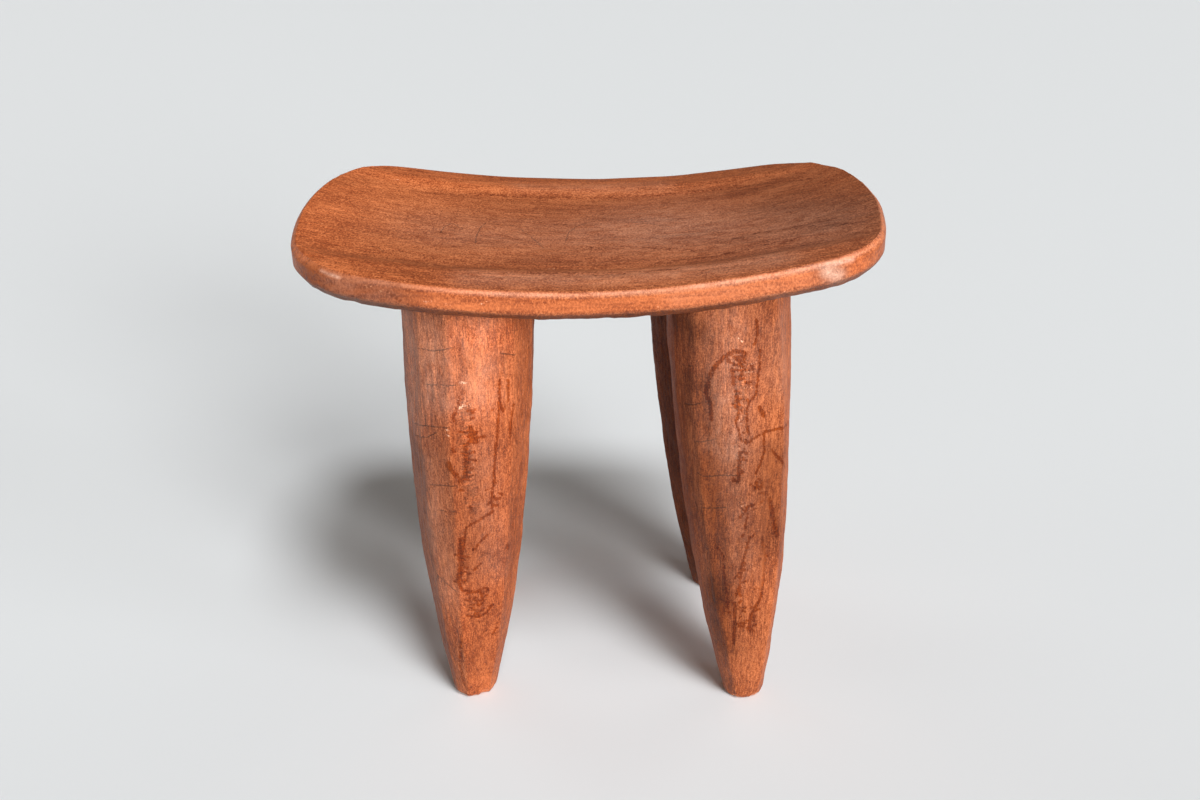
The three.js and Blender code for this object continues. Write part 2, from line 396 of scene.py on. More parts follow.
@dataclass(frozen=True)
class Canvas:
    """A piece's surface laid out flat, with marks drawn on it.

    Attributes:
        places: The vertices' flat places in mm, one row each.
        flatten: Turns an array of a mark's points into flat places in mm.
    """

    places: np.ndarray
    flatten: Callable[[np.ndarray], np.ndarray] = as_drawn

    def beside(self, mark: Stroke) -> Iterator[tuple[np.ndarray, np.ndarray]]:
        """Measures the places against a mark, segment by segment.

        Args:
            mark: The mark.

        Yields:
            How far each place lies to the segment's left, below zero to its right, and how far
            it lies past the segment's ends.
        """
        knots = self.flatten(np.array(mark.points, float))
        for start, end in zip(knots[:-1], knots[1:]):
            length = float(np.hypot(*(end - start)))
            heading = (end - start) / length
            away = self.places - start
            along = away @ heading
            across = away[:, 1] * heading[0] - away[:, 0] * heading[1]
            yield across, np.maximum(0.0, np.maximum(-along, along - length))

    def soft(self, marks: Sequence[Stroke]) -> np.ndarray:
        """Paints soft-edged marks.

        Args:
            marks: The marks.

        Returns:
            How strongly the marks show at each place, 0 to 1.
        """
        core, rim = 0.2, 0.85
        shown = np.zeros(len(self.places))
        for mark in marks:
            for across, past in self.beside(mark):
                distance = np.hypot(across, past)
                edge = 1.0 - smoothstep(distance, core * mark.width, rim * mark.width)
                shown = np.maximum(shown, mark.strength * edge)
        return shown

    def broad(self, marks: Sequence[Stroke]) -> np.ndarray:
        """Adds up broad marks that fade out to all sides, for painted light and shade and for painted
        sheen.

        Args:
            marks: The broad marks.

        Returns:
            How much paler, or darker below zero, each place is.
        """
        fade = 0.6
        total = np.zeros(len(self.places))
        for mark in marks:
            nearest = np.minimum.reduce([np.hypot(*way) for way in self.beside(mark)])
            total += mark.strength * np.exp(-((nearest / (fade * mark.width)) ** 2))
        return total

    def thin(self, marks: Sequence[Stroke]) -> tuple[np.ndarray, np.ndarray]:
        """Draws hair-thin marks as a signed distance, which stays sharp between vertices.

        Args:
            marks: The marks.

        Returns:
            The distance to the nearest mark, below zero on one side of it, and its strength.
        """
        tail = 2.0
        nearest = np.full(len(self.places), 2 * CHECK_REACH)
        offset = np.full(len(self.places), CHECK_REACH)
        strength = np.zeros(len(self.places))
        for mark in marks:
            for across, past in self.beside(mark):
                distance = np.hypot(across, past)
                closer = distance < nearest
                nearest[closer] = distance[closer]
                offset[closer] = across[closer]
                fade = 1.0 - smoothstep(distance, 0.5 * CHECK_REACH, CHECK_REACH)
                fade *= 1.0 - smoothstep(past, 0.0, tail)
                strength[closer] = mark.strength * fade[closer]
        return np.clip(offset, -CHECK_REACH, CHECK_REACH), strength


# Finishes


class Graph:
    """The nodes of one material, with a short call for each kind that the finishes use."""

    def __init__(self, name: str) -> None:
        """Starts a material with no nodes.

        Args:
            name: The material's name.
        """
        self.material = bpy.data.materials.new(name)
        self.material.use_nodes = True
        self.nodes = self.material.node_tree.nodes
        self.links = self.material.node_tree.links
        self.nodes.clear()

    def feed(self, socket: Socket, value: Number | Sequence[float]) -> None:
        """Links a socket to another one or sets its number.

        Args:
            socket: The input.
            value: An output, a number or a colour.
        """
        if isinstance(value, bpy.types.NodeSocket):
            self.links.new(value, socket)
        else:
            socket.default_value = value

    def node(
        self,
        kind: str,
        inputs: dict[int | str, Number | Sequence[float]],
        output: int | str = 0,
        **options: str,
    ) -> Socket:
        """Adds one node.

        Args:
            kind: The end of the node type's name.
            inputs: What each of its inputs is fed with.
            output: The output that is wanted.
            **options: Its settings.

        Returns:
            The output.
        """
        node = self.nodes.new(f"ShaderNode{kind}")
        for name, setting in options.items():
            setattr(node, name, setting)
        for name, value in inputs.items():
            self.feed(node.inputs[name], value)
        return node.outputs[output]

    def math(self, operation: str, *values: Number) -> Socket:
        """Adds one step of arithmetic with the inputs in order."""
        return self.node("Math", dict(enumerate(values)), operation=operation)

    def plus(self, base: Number, *terms: tuple[Socket, float]) -> Socket:
        """Adds weighted values to a base.

        Args:
            base: The base.
            *terms: Each value with its weight.

        Returns:
            The sum.
        """
        for value, weight in terms:
            base = self.math("MULTIPLY_ADD", value, weight, base)
        return base

    def times(self, first: Socket, *factors: Number) -> Socket:
        """Multiplies values with one another.

        Args:
            first: The first value.
            *factors: The others.

        Returns:
            The product.
        """
        for factor in factors:
            first = self.math("MULTIPLY", first, factor)
        return first

    def rest(self, share: Socket) -> Socket:
        """Gives what a share leaves of 1."""
        return self.math("SUBTRACT", 1.0, share)

    def ease(self, value: Socket, low: float, high: float) -> Socket:
        """Eases a value from 0 at the low limit to 1 at the high one."""
        limits = {"Value": value, "From Min": low, "From Max": high}
        return self.node("MapRange", limits, interpolation_type="SMOOTHSTEP")

    def attribute(self, name: str) -> Socket:
        """Reads a number that is kept at the piece's vertices."""
        return self.node("Attribute", {}, "Fac", attribute_name=name)

    def scaled(self, shade: Socket, factor: Socket) -> Socket:
        """Multiplies each channel of a colour by one factor."""
        return self.node("VectorMath", {0: shade, "Scale": factor}, operation="SCALE")

    def ramp(self, value: Socket, stops: Sequence[tuple[float, Colour]]) -> Socket:
        """Turns a number into a colour.

        Args:
            value: The number, 0 to 1.
            stops: Places on the ramp with their colours.

        Returns:
            The colour.
        """
        node = self.nodes.new("ShaderNodeValToRGB")
        elements = node.color_ramp.elements
        while len(elements) < len(stops):
            elements.new(1.0)
        for element, (position, shade) in zip(elements, stops):
            element.position = position
            element.color = shade
        self.feed(node.inputs["Fac"], value)
        return node.outputs["Color"]

    def mix(self, share: Number, first: Socket, second: Colour, blend: str = "MIX") -> Socket:
        """Lays a share of a second colour on the first, in the Mix node's way of that name."""
        colours = {"Factor": share, 6: first, 7: second}
        return self.node("Mix", colours, 2, data_type="RGBA", blend_type=blend)

    def bump(self, height: Socket) -> Socket:
        """Turns a height in mm into the direction for the shader's normal."""
        return self.node("Bump", {"Distance": MM, "Height": height}, "Normal")

    def principled(self) -> bpy.types.Node:
        """Adds the surface shader and the output that it feeds.

        Returns:
            The shader's node.
        """
        shader = self.nodes.new("ShaderNodeBsdfPrincipled")
        output = self.nodes.new("ShaderNodeOutputMaterial")
        self.links.new(shader.outputs["BSDF"], output.inputs["Surface"])
        return shader


class Grain(Enum):
    """The way the wood's fibres run."""

    ALONG_SEAT = "x"
    UP_LEG = "z"


@dataclass(frozen=True)
class WoodFinish:
    """Stained and waxed wood, with fibres, mottling, stains, checks, scuffs, worn places, and painted
    light, shade, highlights and sheen.

    Attributes:
        name: The finish's name.
        grain: The way its fibres run.
        deep: The colour of the dark fibres.
        body: The usual colour.
        pale: The colour of the light fibres.
        stain: The colour of the natural blotches and the cut growth rings.
        soaked: What the dark red lines leave of the wood's own colour.
        check: The colour of the cracks.
        scuff: The colour of torn and scratched places.
        bare: The colour of worn places and of painted highlights.
        painted_sheen: The colour of the painted sheen, a pale reflection on the wax.
        warm: A tint where the tone is above zero.
        cool: A tint where the tone is below zero.
        roughness: The usual roughness.
        coat: How much wax lies on the wood.
        coat_roughness: The wax's roughness.
        specular: How strongly the wood itself shines.
        streak: How strong the broad streaks are.
        mottle: How strong the mottling is.
        fibre: How strong the fine fibres are.
        speckle: How strong the speckle is.
        blotches: How strong the natural blotches are.
        rings: How strong the cut growth rings are.
        coarseness: How large the fibres and speckles are.
    """

    name: str
    grain: Grain
    deep: Colour
    body: Colour
    pale: Colour
    stain: Colour
    soaked: Colour
    check: Colour
    scuff: Colour
    bare: Colour
    painted_sheen: Colour
    warm: Colour
    cool: Colour
    roughness: float = 0.5
    coat: float = 0.15
    coat_roughness: float = 0.35
    specular: float = 0.4
    streak: float = 0.9
    mottle: float = 0.3
    fibre: float = 0.7
    speckle: float = 0.5
    blotches: float = 0.3
    rings: float = 0.15
    coarseness: float = 1.0

    def material(self) -> bpy.types.Material:
        """Makes the finish's material."""
        return WoodShader(self).join_layers()


class WoodShader(Graph):
    """The nodes of one wood finish, laid over one another from the fibres up to the painted light,
    shade and sheen.
    """

    def __init__(self, wood: WoodFinish) -> None:
        """Makes the patterns and the shares that more than one layer needs.

        Args:
            wood: The finish.
        """
        super().__init__(wood.name)
        self.wood = wood
        size = wood.coarseness
        self.streaks = self.pattern(4.2, 60, detail=5, roughness=0.62, distortion=0.3)
        self.fibres = self.pattern(1.1 * size, 9 * size, roughness=0.65)
        self.grit = self.pattern(size, 1.4, detail=2, roughness=0.8)
        self.mottle = self.pattern(9, 15, detail=4, roughness=0.7, distortion=0.5)
        self.ragged = self.pattern(1.8 * size, 3 * size, detail=4, roughness=0.65)
        self.chatter = self.pattern(6.5, 1.8, roughness=0.6, distortion=0.6)
        self.drawn = self.attribute("stain")
        self.stains = self.stained()
        self.cracks = self.cracked()
        self.ripples = self.rippled()

    def pattern(
        self,
        across: float,
        along: float,
        detail: float = 3.0,
        roughness: float = 0.55,
        distortion: float = 0.0,
    ) -> Socket:
        """Adds a cloud of noise in the object's own coordinates, stretched along the fibres.

        Args:
            across: The size of its cells across the fibres in mm.
            along: The size of its cells along the fibres in mm.
            detail: How many finer layers it has.
            roughness: How strong the finer layers are.
            distortion: How far it is swirled.

        Returns:
            The noise, about 0 on average.
        """
        wide, long = 1.0 / (across * MM), 1.0 / (along * MM)
        runs_along_seat = self.wood.grain is Grain.ALONG_SEAT
        stretch = (long, wide, wide) if runs_along_seat else (wide, wide, long)
        own = self.node("TexCoord", {}, "Object")
        shape = {
            "Vector": self.node("VectorMath", {0: own, 1: stretch}, operation="MULTIPLY"),
            "Scale": 1.0,
            "Detail": detail,
            "Roughness": roughness,
            "Distortion": distortion,
        }
        return self.math("SUBTRACT", self.node("TexNoise", shape, "Fac"), 0.5)

    def stained(self) -> Socket:
        """Gives how dark the drawn red lines are, with ragged and broken edges.

        Returns:
            The share, 0 to 1.
        """
        spread = self.plus(self.drawn, (self.ragged, 2.4), (self.chatter, 1.2))
        patchy = self.pattern(7, 9, roughness=0.6)
        inside = self.ease(self.drawn, 0.0, 0.3)
        return self.times(self.ease(spread, 0.12, 0.62), inside, self.ease(patchy, -0.5, 0.0))

    def cracked(self) -> Socket:
        """Gives how deep the hair-thin checks are, which waver and break off here and there.

        Returns:
            The share, 0 to 1.
        """
        offset = self.plus(self.attribute("check_offset"), (self.ragged, 2.4))
        line = self.rest(self.ease(self.math("ABSOLUTE", offset), 0.1, 0.8))
        gaps = self.ease(self.pattern(5, 5, detail=2), -0.22, 0.0)
        return self.times(line, self.attribute("check_strength"), gaps)

    def rippled(self) -> Socket:
        """Gives the rise and fall of the fine ripples across the fibres."""
        wave = self.plus(-1.0, (self.ease(self.chatter, -0.1, 0.12), 2.0))
        return self.times(wave, self.plus(self.attribute("ripple"), (self.drawn, 0.3)))

    def blotched(self) -> Socket:
        """Gives where the wood's own darker blotches are."""
        patches = self.pattern(11, 26, detail=4, roughness=0.65, distortion=0.8)
        return self.ease(self.plus(patches, (self.ragged, 0.35)), 0.13, 0.30)

    def ringed(self) -> Socket:
        """Gives where growth rings are cut.

        Returns:
            The share, 0 to 1.
        """
        growth = self.pattern(26, 70, detail=2, roughness=0.4, distortion=0.5)
        band = self.math("PINGPONG", self.plus(40.0, (growth, 9.0)), 0.5)
        edge = self.math("ABSOLUTE", self.plus(band, (self.ragged, 0.35)))
        return self.rest(self.ease(edge, 0.02, 0.13))

    def rubbed(self) -> Socket:
        """Gives where the wood is worn pale and where a highlight is painted, in streaks."""
        spread = self.plus(self.attribute("wear_and_highlight"), (self.streaks, 1.2))
        return self.times(self.ease(spread, 0.1, 0.9), 0.65)

    def torn(self) -> Socket:
        """Gives where the surface is torn or scratched, fibre by fibre."""
        spread = self.plus(self.attribute("scuff"), (self.grit, 2.4), (self.ragged, 2.0))
        return self.ease(spread, 0.62, 1.1)

    def dusty(self) -> Socket:
        """Gives where a pale sheen is painted, which the dark lines keep off.

        Returns:
            The share.
        """
        cover = self.plus(1.0, (self.mottle, 3.0), (self.grit, 2.2))
        clean = self.plus(1.0, (self.stains, -0.7))
        return self.times(cover, self.attribute("painted_sheen"), clean)

    def fibre_colour(self) -> Socket:
        """Colours the fibres, the mottling and the speckle, warmer or cooler by their tone.

        Returns:
            The colour of the bare wood.
        """
        wood = self.wood
        clouds = self.pattern(38, 95, distortion=0.4)
        shade = self.plus(
            0.5, (clouds, 0.9), (self.mottle, wood.mottle), (self.streaks, wood.streak),
            (self.fibres, wood.fibre), (self.grit, wood.speckle),
        )
        tint = self.ramp(shade, ((0.1, wood.deep), (0.5, wood.body), (0.9, wood.pale)))
        tone = self.attribute("tone")
        warmth = self.math("MAXIMUM", tone, 0.0)
        coolness = self.math("MAXIMUM", self.times(tone, -1.0), 0.0)
        tint = self.mix(warmth, tint, wood.warm, "MULTIPLY")
        return self.mix(coolness, tint, wood.cool, "MULTIPLY")

    def faded(self, tint: Socket) -> Socket:
        """Paints light and shade into a colour, and makes it paler or darker where the piece is
        rippled.

        Args:
            tint: The colour.

        Returns:
            The new colour.
        """
        # Where the painted shade is strong, the colour turns warmer and deeper.
        in_shade = (1.0, 0.8, 0.45, 1.0)
        painted_light = self.attribute("painted_light")
        tint = self.mix(self.ease(painted_light, -0.4, -1.4), tint, in_shade, "MULTIPLY")
        brightness = self.math("POWER", 2.0, painted_light)
        return self.scaled(tint, self.times(brightness, self.plus(1.0, (self.ripples, 0.3))))

    def layered(self) -> Socket:
        """Lays the colours over one another.

        Returns:
            The surface's colour.
        """
        wood = self.wood
        tint = self.fibre_colour()
        tint = self.mix(self.times(self.blotched(), wood.blotches), tint, wood.stain)
        tint = self.mix(self.stains, tint, wood.soaked, "MULTIPLY")
        tint = self.mix(self.times(self.ringed(), wood.rings), tint, wood.stain)
        tint = self.mix(self.rubbed(), tint, wood.bare)
        tint = self.mix(self.times(self.cracks, 0.8), tint, wood.check)
        tint = self.mix(self.times(self.torn(), 0.85), tint, wood.scuff)
        # Painted light and shade, then painted sheen, go over the wood's own colours.
        return self.mix(self.dusty(), self.faded(tint), wood.painted_sheen)

    def join_layers(self) -> bpy.types.Material:
        """Feeds colour, roughness and relief to the surface shader.

        Returns:
            The material.
        """
        wood = self.wood
        height = self.plus(
            self.times(self.streaks, 0.8), (self.fibres, 0.28), (self.grit, 0.16),
            (self.ripples, 0.14), (self.cracks, -0.4), (self.stains, -0.08),
        )
        dullness = self.plus(wood.roughness, (self.streaks, 0.5), (self.grit, 0.25))
        shader = self.principled()
        self.feed(shader.inputs["Base Color"], self.layered())
        self.feed(shader.inputs["Roughness"], dullness)
        self.feed(shader.inputs["Normal"], self.bump(height))
        shader.inputs["Specular IOR Level"].default_value = wood.specular
        shader.inputs["Coat Weight"].default_value = wood.coat
        shader.inputs["Coat Roughness"].default_value = wood.coat_roughness
        return self.material


SEAT_WOOD = WoodFinish(
    name="seat_wood",
    grain=Grain.ALONG_SEAT,
    deep=colour(126, 60, 32),
    body=colour(168, 90, 50),
    pale=colour(202, 120, 74),
    stain=colour(108, 46, 22),
    soaked=(0.45, 0.32, 0.26, 1.0),
    check=colour(66, 30, 18),
    scuff=colour(238, 182, 152),
    bare=colour(222, 126, 76),
    painted_sheen=colour(228, 184, 162),
    warm=colour(255, 230, 205),
    cool=(0.84, 0.86, 1.05, 1.0),
    roughness=0.48,
    coat=0.06,
    coat_roughness=0.3,
    specular=0.3,
    streak=0.4,
    mottle=0.9,
    fibre=0.25,
    speckle=2.9,
    blotches=0.3,
    rings=0.05,
    coarseness=1.9,
)
LEG_WOOD = WoodFinish(
    name="leg_wood",
    grain=Grain.UP_LEG,
    deep=colour(102, 46, 24),
    body=colour(151, 79, 43),
    pale=colour(194, 113, 69),
    stain=colour(114, 42, 2),
    soaked=(0.58, 0.36, 0.06, 1.0),
    check=colour(60, 26, 16),
    scuff=colour(238, 184, 152),
    bare=colour(204, 120, 74),
    painted_sheen=colour(228, 184, 162),
    warm=colour(255, 230, 205),
    cool=(0.86, 0.90, 1.1, 1.0),
    roughness=0.55,
    coat=0.0,
    specular=0.25,
    streak=0.75,
    fibre=1.5,
    speckle=1.9,
    blotches=0.4,
    rings=0.3,
)
WEDGE_WOOD = WoodFinish(
    name="wedge_wood",
    grain=Grain.UP_LEG,
    deep=colour(128, 80, 46),
    body=colour(154, 98, 56),
    pale=colour(176, 120, 74),
    stain=colour(112, 66, 36),
    soaked=(0.6, 0.5, 0.4, 1.0),
    check=colour(70, 40, 24),
    scuff=colour(200, 150, 104),
    bare=colour(184, 130, 84),
    painted_sheen=colour(200, 170, 140),
    warm=colour(255, 240, 220),
    cool=colour(230, 230, 240),
    roughness=0.65,
)


# Seat


@dataclass(frozen=True)
class Arc:
    """One arc of the seat's outline.

    Attributes:
        centre: Its centre in mm.
        radius: Its radius in mm.
        steps: How many steps it is drawn in.
    """

    centre: Vector
    radius: float
    steps: int


@dataclass(frozen=True)
class SeatPlan:
    """The seat's sizes in mm and the surfaces that follow from them.

    Attributes:
        length: From end to end.
        depth: From front to back.
        bows: How far the front, right, back and left sides bulge.
        corner_radii: The front right, back right, back left and front left corners.
        rim_height: The rim's height at mid-length.
        end_rise: How much higher the rim is at the ends.
        corner_twist: How far the plank is twisted.
        rim_thickness: The plank's thickness at the rim.
        top_arris: The top edge's radius.
        bottom_arris: The bottom edge's radius.
        margin_width: The flat margin along front and back.
        margin_crown: The margin's crown.
        hollow_slope: The width of the slope down into the hollow.
        hollow_depth: The hollow's depth.
        belly_depth: How far the underside swells.
    """

    length: float = 450.0
    depth: float = 320.0
    bows: tuple[float, float, float, float] = (11.7, 24.9, 11.0, 23.0)
    corner_radii: tuple[float, float, float, float] = (54.0, 92.0, 79.0, 63.0)
    rim_height: float = 389.0
    end_rise: float = 27.2
    corner_twist: float = 2.4
    rim_thickness: float = 21.6
    top_arris: float = 4.4
    bottom_arris: float = 7.0
    margin_width: float = 40.0
    margin_crown: float = 1.5
    hollow_slope: float = 26.0
    hollow_depth: float = 5.0
    belly_depth: float = 18.0

    def rim_line(self, x: np.ndarray, y: np.ndarray) -> np.ndarray:
        """Gives the rim's height over places in plan."""
        along, across = 2 * x / self.length, 2 * y / self.depth
        return self.rim_height + self.end_rise * along**2 - self.corner_twist * along * across

    def from_edge(self, y: np.ndarray) -> np.ndarray:
        """Gives how far places lie from the seat's front or back."""
        return self.depth / 2 - np.abs(y)

    def hollow(self, x: np.ndarray, y: np.ndarray) -> np.ndarray:
        """Gives the share of the hollow's full depth over places in plan."""
        slope = smoothstep(self.from_edge(y), self.margin_width, self.margin_width + self.hollow_slope)
        return slope * (1 - np.abs(2 * x / self.length) ** 4)

    def top_height(self, x: np.ndarray, y: np.ndarray) -> np.ndarray:
        """Gives the top's height over places in plan.

        Args:
            x: Places along the seat in mm.
            y: Places across the seat in mm.

        Returns:
            Heights in mm.
        """
        edgeward = 1 - np.clip(self.from_edge(y) / self.margin_width, 0, 1)
        crown = self.margin_crown * (1 - edgeward**2)
        return self.rim_line(x, y) + crown - self.hollow_depth * self.hollow(x, y)

    def underside_height(self, x: np.ndarray, y: np.ndarray) -> np.ndarray:
        """Gives the underside's height over places in plan.

        Args:
            x: Places along the seat in mm.
            y: Places across the seat in mm.

        Returns:
            Heights in mm.
        """
        along = x / (self.length / 2 - self.bottom_arris)
        across = y / (self.depth / 2 - self.bottom_arris)
        belly = self.belly_depth * (1 - along**2) * (1 - across**2)
        return self.rim_line(x, y) - self.rim_thickness - belly

    def side_arc(self, start: Vector, end: Vector, bow: float, steps: int) -> Arc:
        """Draws a side between two corner points.

        Args:
            start: The corner point that it comes from.
            end: The corner point that it goes to.
            bow: How far it bulges.
            steps: How many steps it is drawn in.

        Returns:
            The side's arc.
        """
        chord = end - start
        half = chord.length / 2
        radius = (half * half + bow * bow) / (2 * bow)
        outward = Vector((chord.y, -chord.x)).normalized()
        return Arc((start + end) / 2 + outward * (bow - radius), radius, steps)

    def corner_arc(self, before: Arc, after: Arc, radius: float, corner: Vector, steps: int) -> Arc:
        """Rounds the corner between two sides.

        Args:
            before: The side before the corner.
            after: The side after the corner.
            radius: The corner's radius.
            corner: The corner point.
            steps: How many steps it is drawn in.

        Returns:
            The corner's arc, which touches both sides from inside.
        """
        between = after.centre - before.centre
        gap = between.length
        reach_before = before.radius - radius
        reach_after = after.radius - radius
        along = (reach_before**2 - reach_after**2 + gap**2) / (2 * gap)
        off = math.sqrt(max(reach_before**2 - along**2, 0.0))
        base = before.centre + between * (along / gap)
        normal = Vector((-between.y, between.x)) / gap
        centres = [base + normal * off, base - normal * off]
        centre = min(centres, key=lambda place: (place - corner).length)
        return Arc(centre, radius, steps)

    def outline(self, long_steps: int, short_steps: int, corner_steps: int) -> list[Arc]:
        """Draws the outline from the front side on, anticlockwise seen from above.

        Args:
            long_steps: Steps along the front and the back.
            short_steps: Steps along each end.
            corner_steps: Steps round each corner.

        Returns:
            The eight arcs, a side and the corner after it in turn.
        """
        front, right, back, left = self.bows
        near, far = -self.depth / 2 + front, self.depth / 2 - back
        west, east = -self.length / 2 + left, self.length / 2 - right
        corners = [Vector(place) for place in ((west, near), (east, near), (east, far), (west, far))]
        counts = (long_steps, short_steps, long_steps, short_steps)
        sides = [
            self.side_arc(corners[side], corners[(side + 1) % 4], self.bows[side], counts[side])
            for side in range(4)
        ]
        arcs = []
        for side in range(4):
            following = (side + 1) % 4
            corner = self.corner_arc(
                sides[side], sides[following], self.corner_radii[side], corners[following],
                corner_steps,
            )
            arcs += [sides[side], corner]
        return arcs


SEAT_SWAY = Undulation(0.2, (130, 90, 60), seed=11)
SEAT_GOUGE = Undulation(0.10, (150, 13, 40), seed=12, waves=24)
SEAT_RASP = Undulation(0.035, (60, 4.5, 9), seed=13, waves=30)
SEAT_ADZE = Undulation(0.35, (34, 42, 40), seed=14, waves=20)
SEAT_TOP_MARKS = Marks(
    stains=[
        *strokes(
            [(-151, -96), (-122, -98), (-86, -106), (-49, -116), (-35, -121), (-6, -119),
             (22, -123), (50, -122), (79, -118), (108, -110), (138, -99), (174, -95)],
            [(-162, 79), (-96, 99), (-26, 101), (26, 99), (61, 101), (96, 101), (148, 94),
             (195, 71)],
            width=6, strength=0.26,
        ),
        *strokes(
            [(99, -55), (130, -46), (160, -50), (199, -76)],
            [(52, -89), (96, -87), (126, -80), (155, -79)],
            [(0, -45), (31, -44), (83, -69)],
            width=7, strength=0.3,
        ),
    ],
    checks=strokes(
        [(-65, 16), (-56, 6), (-46, -17), (-36, -42)],
        [(-88, -40), (-89, -20), (-88, 0), (-84, 18)],
        [(-117, -20), (-116, -4), (-111, 7), (-101, -4)],
        [(-19, -24), (-17, -3), (-11, 15), (0, 26)],
        [(38, 21), (49, 15), (63, 2)],
        [(-146, -44), (-137, -47), (-130, -51)],
        [(-165, -76), (-156, -76), (-151, -83)],
        strength=0.75,
    ),
    scuffs=strokes(
        [(-96, -93), (-84, -90)], [(-177, 101), (-166, 106)], [(-5, 113), (3, 113)],
        [(28, 101), (52, 100)], [(49, 128), (55, 130)], [(57, -43), (64, -42)],
        [(-52, -71), (-31, -72)], [(-32, -95), (-17, -95)], [(4, -11), (7, -14)],
        [(93, 130), (97, 129)],
        strength=0.6,
    ),
)
# Painted light and shade on the seat's top: its left end paler and its right end darker by how they
# face the lamps, and a little darker towards the back of the hollow.
SEAT_TOP_PAINTED_SHADING = (
    Stroke(((-215, -60), (-170, 40), (-150, 90)), 90, 0.25),
    Stroke(((150, 90), (190, 20), (200, -60)), 90, -0.3),
    Stroke(((150, 10), (185, -40)), 60, -0.25),
    Stroke(((-60, 60), (60, 60)), 60, -0.1),
)
# Painted sheen on the seat's top: a pale reflection across the hollow and along the front and back
# margins.
SEAT_TOP_PAINTED_SHEEN = (
    Stroke(((-110, -10), (40, -20)), 90, 0.10),
    Stroke(((60, 20), (170, -60)), 100, 0.13),
    Stroke(((-80, -133), (130, -128)), 28, 0.15),
    Stroke(((-60, 122), (60, 122)), 22, 0.08),
)
SEAT_EDGE_MARKS = Marks(
    stains=strokes([(-137, 391), (-133, 388), (-129, 383)], width=1.6, strength=0.8),
    scuffs=strokes(
        [(-154, 394), (-149, 395), (-145, 392), (-140, 391)],
        [(-112, 384), (-102, 382), (-91, 381)],
        [(-74, 382), (-66, 385)],
        strength=0.65,
    ),
)
# Painted shade on the front edge: darker at its left end, which turns from the lamps, in a spot under
# the painted glint at the right front corner, and faintly along the middle.
SEAT_EDGE_PAINTED_SHADING = (
    Stroke(((-205, 400), (-175, 392), (-140, 388)), 36, -1.15),
    Stroke(((163, 397), (172, 396)), 12, -0.7),
    Stroke(((-100, 383), (100, 383)), 40, -0.08),
)
# Painted highlights on the front edge: a pale glint at the right front corner, thin highlight lines
# along the arris there and at the left front corner, and faint sheen along the edge.
SEAT_EDGE_PAINTED_SHEEN = (
    Stroke(((163, 398), (170, 395)), 9, 0.5),
    Stroke(((168, 403), (181, 405)), 2, 0.5),
    Stroke(((-184, 403), (-171, 400)), 1.6, 0.35),
    Stroke(((-140, 390), (-172, 396)), 22, 0.08),
    Stroke(((60, 385), (150, 392)), 16, 0.05),
)


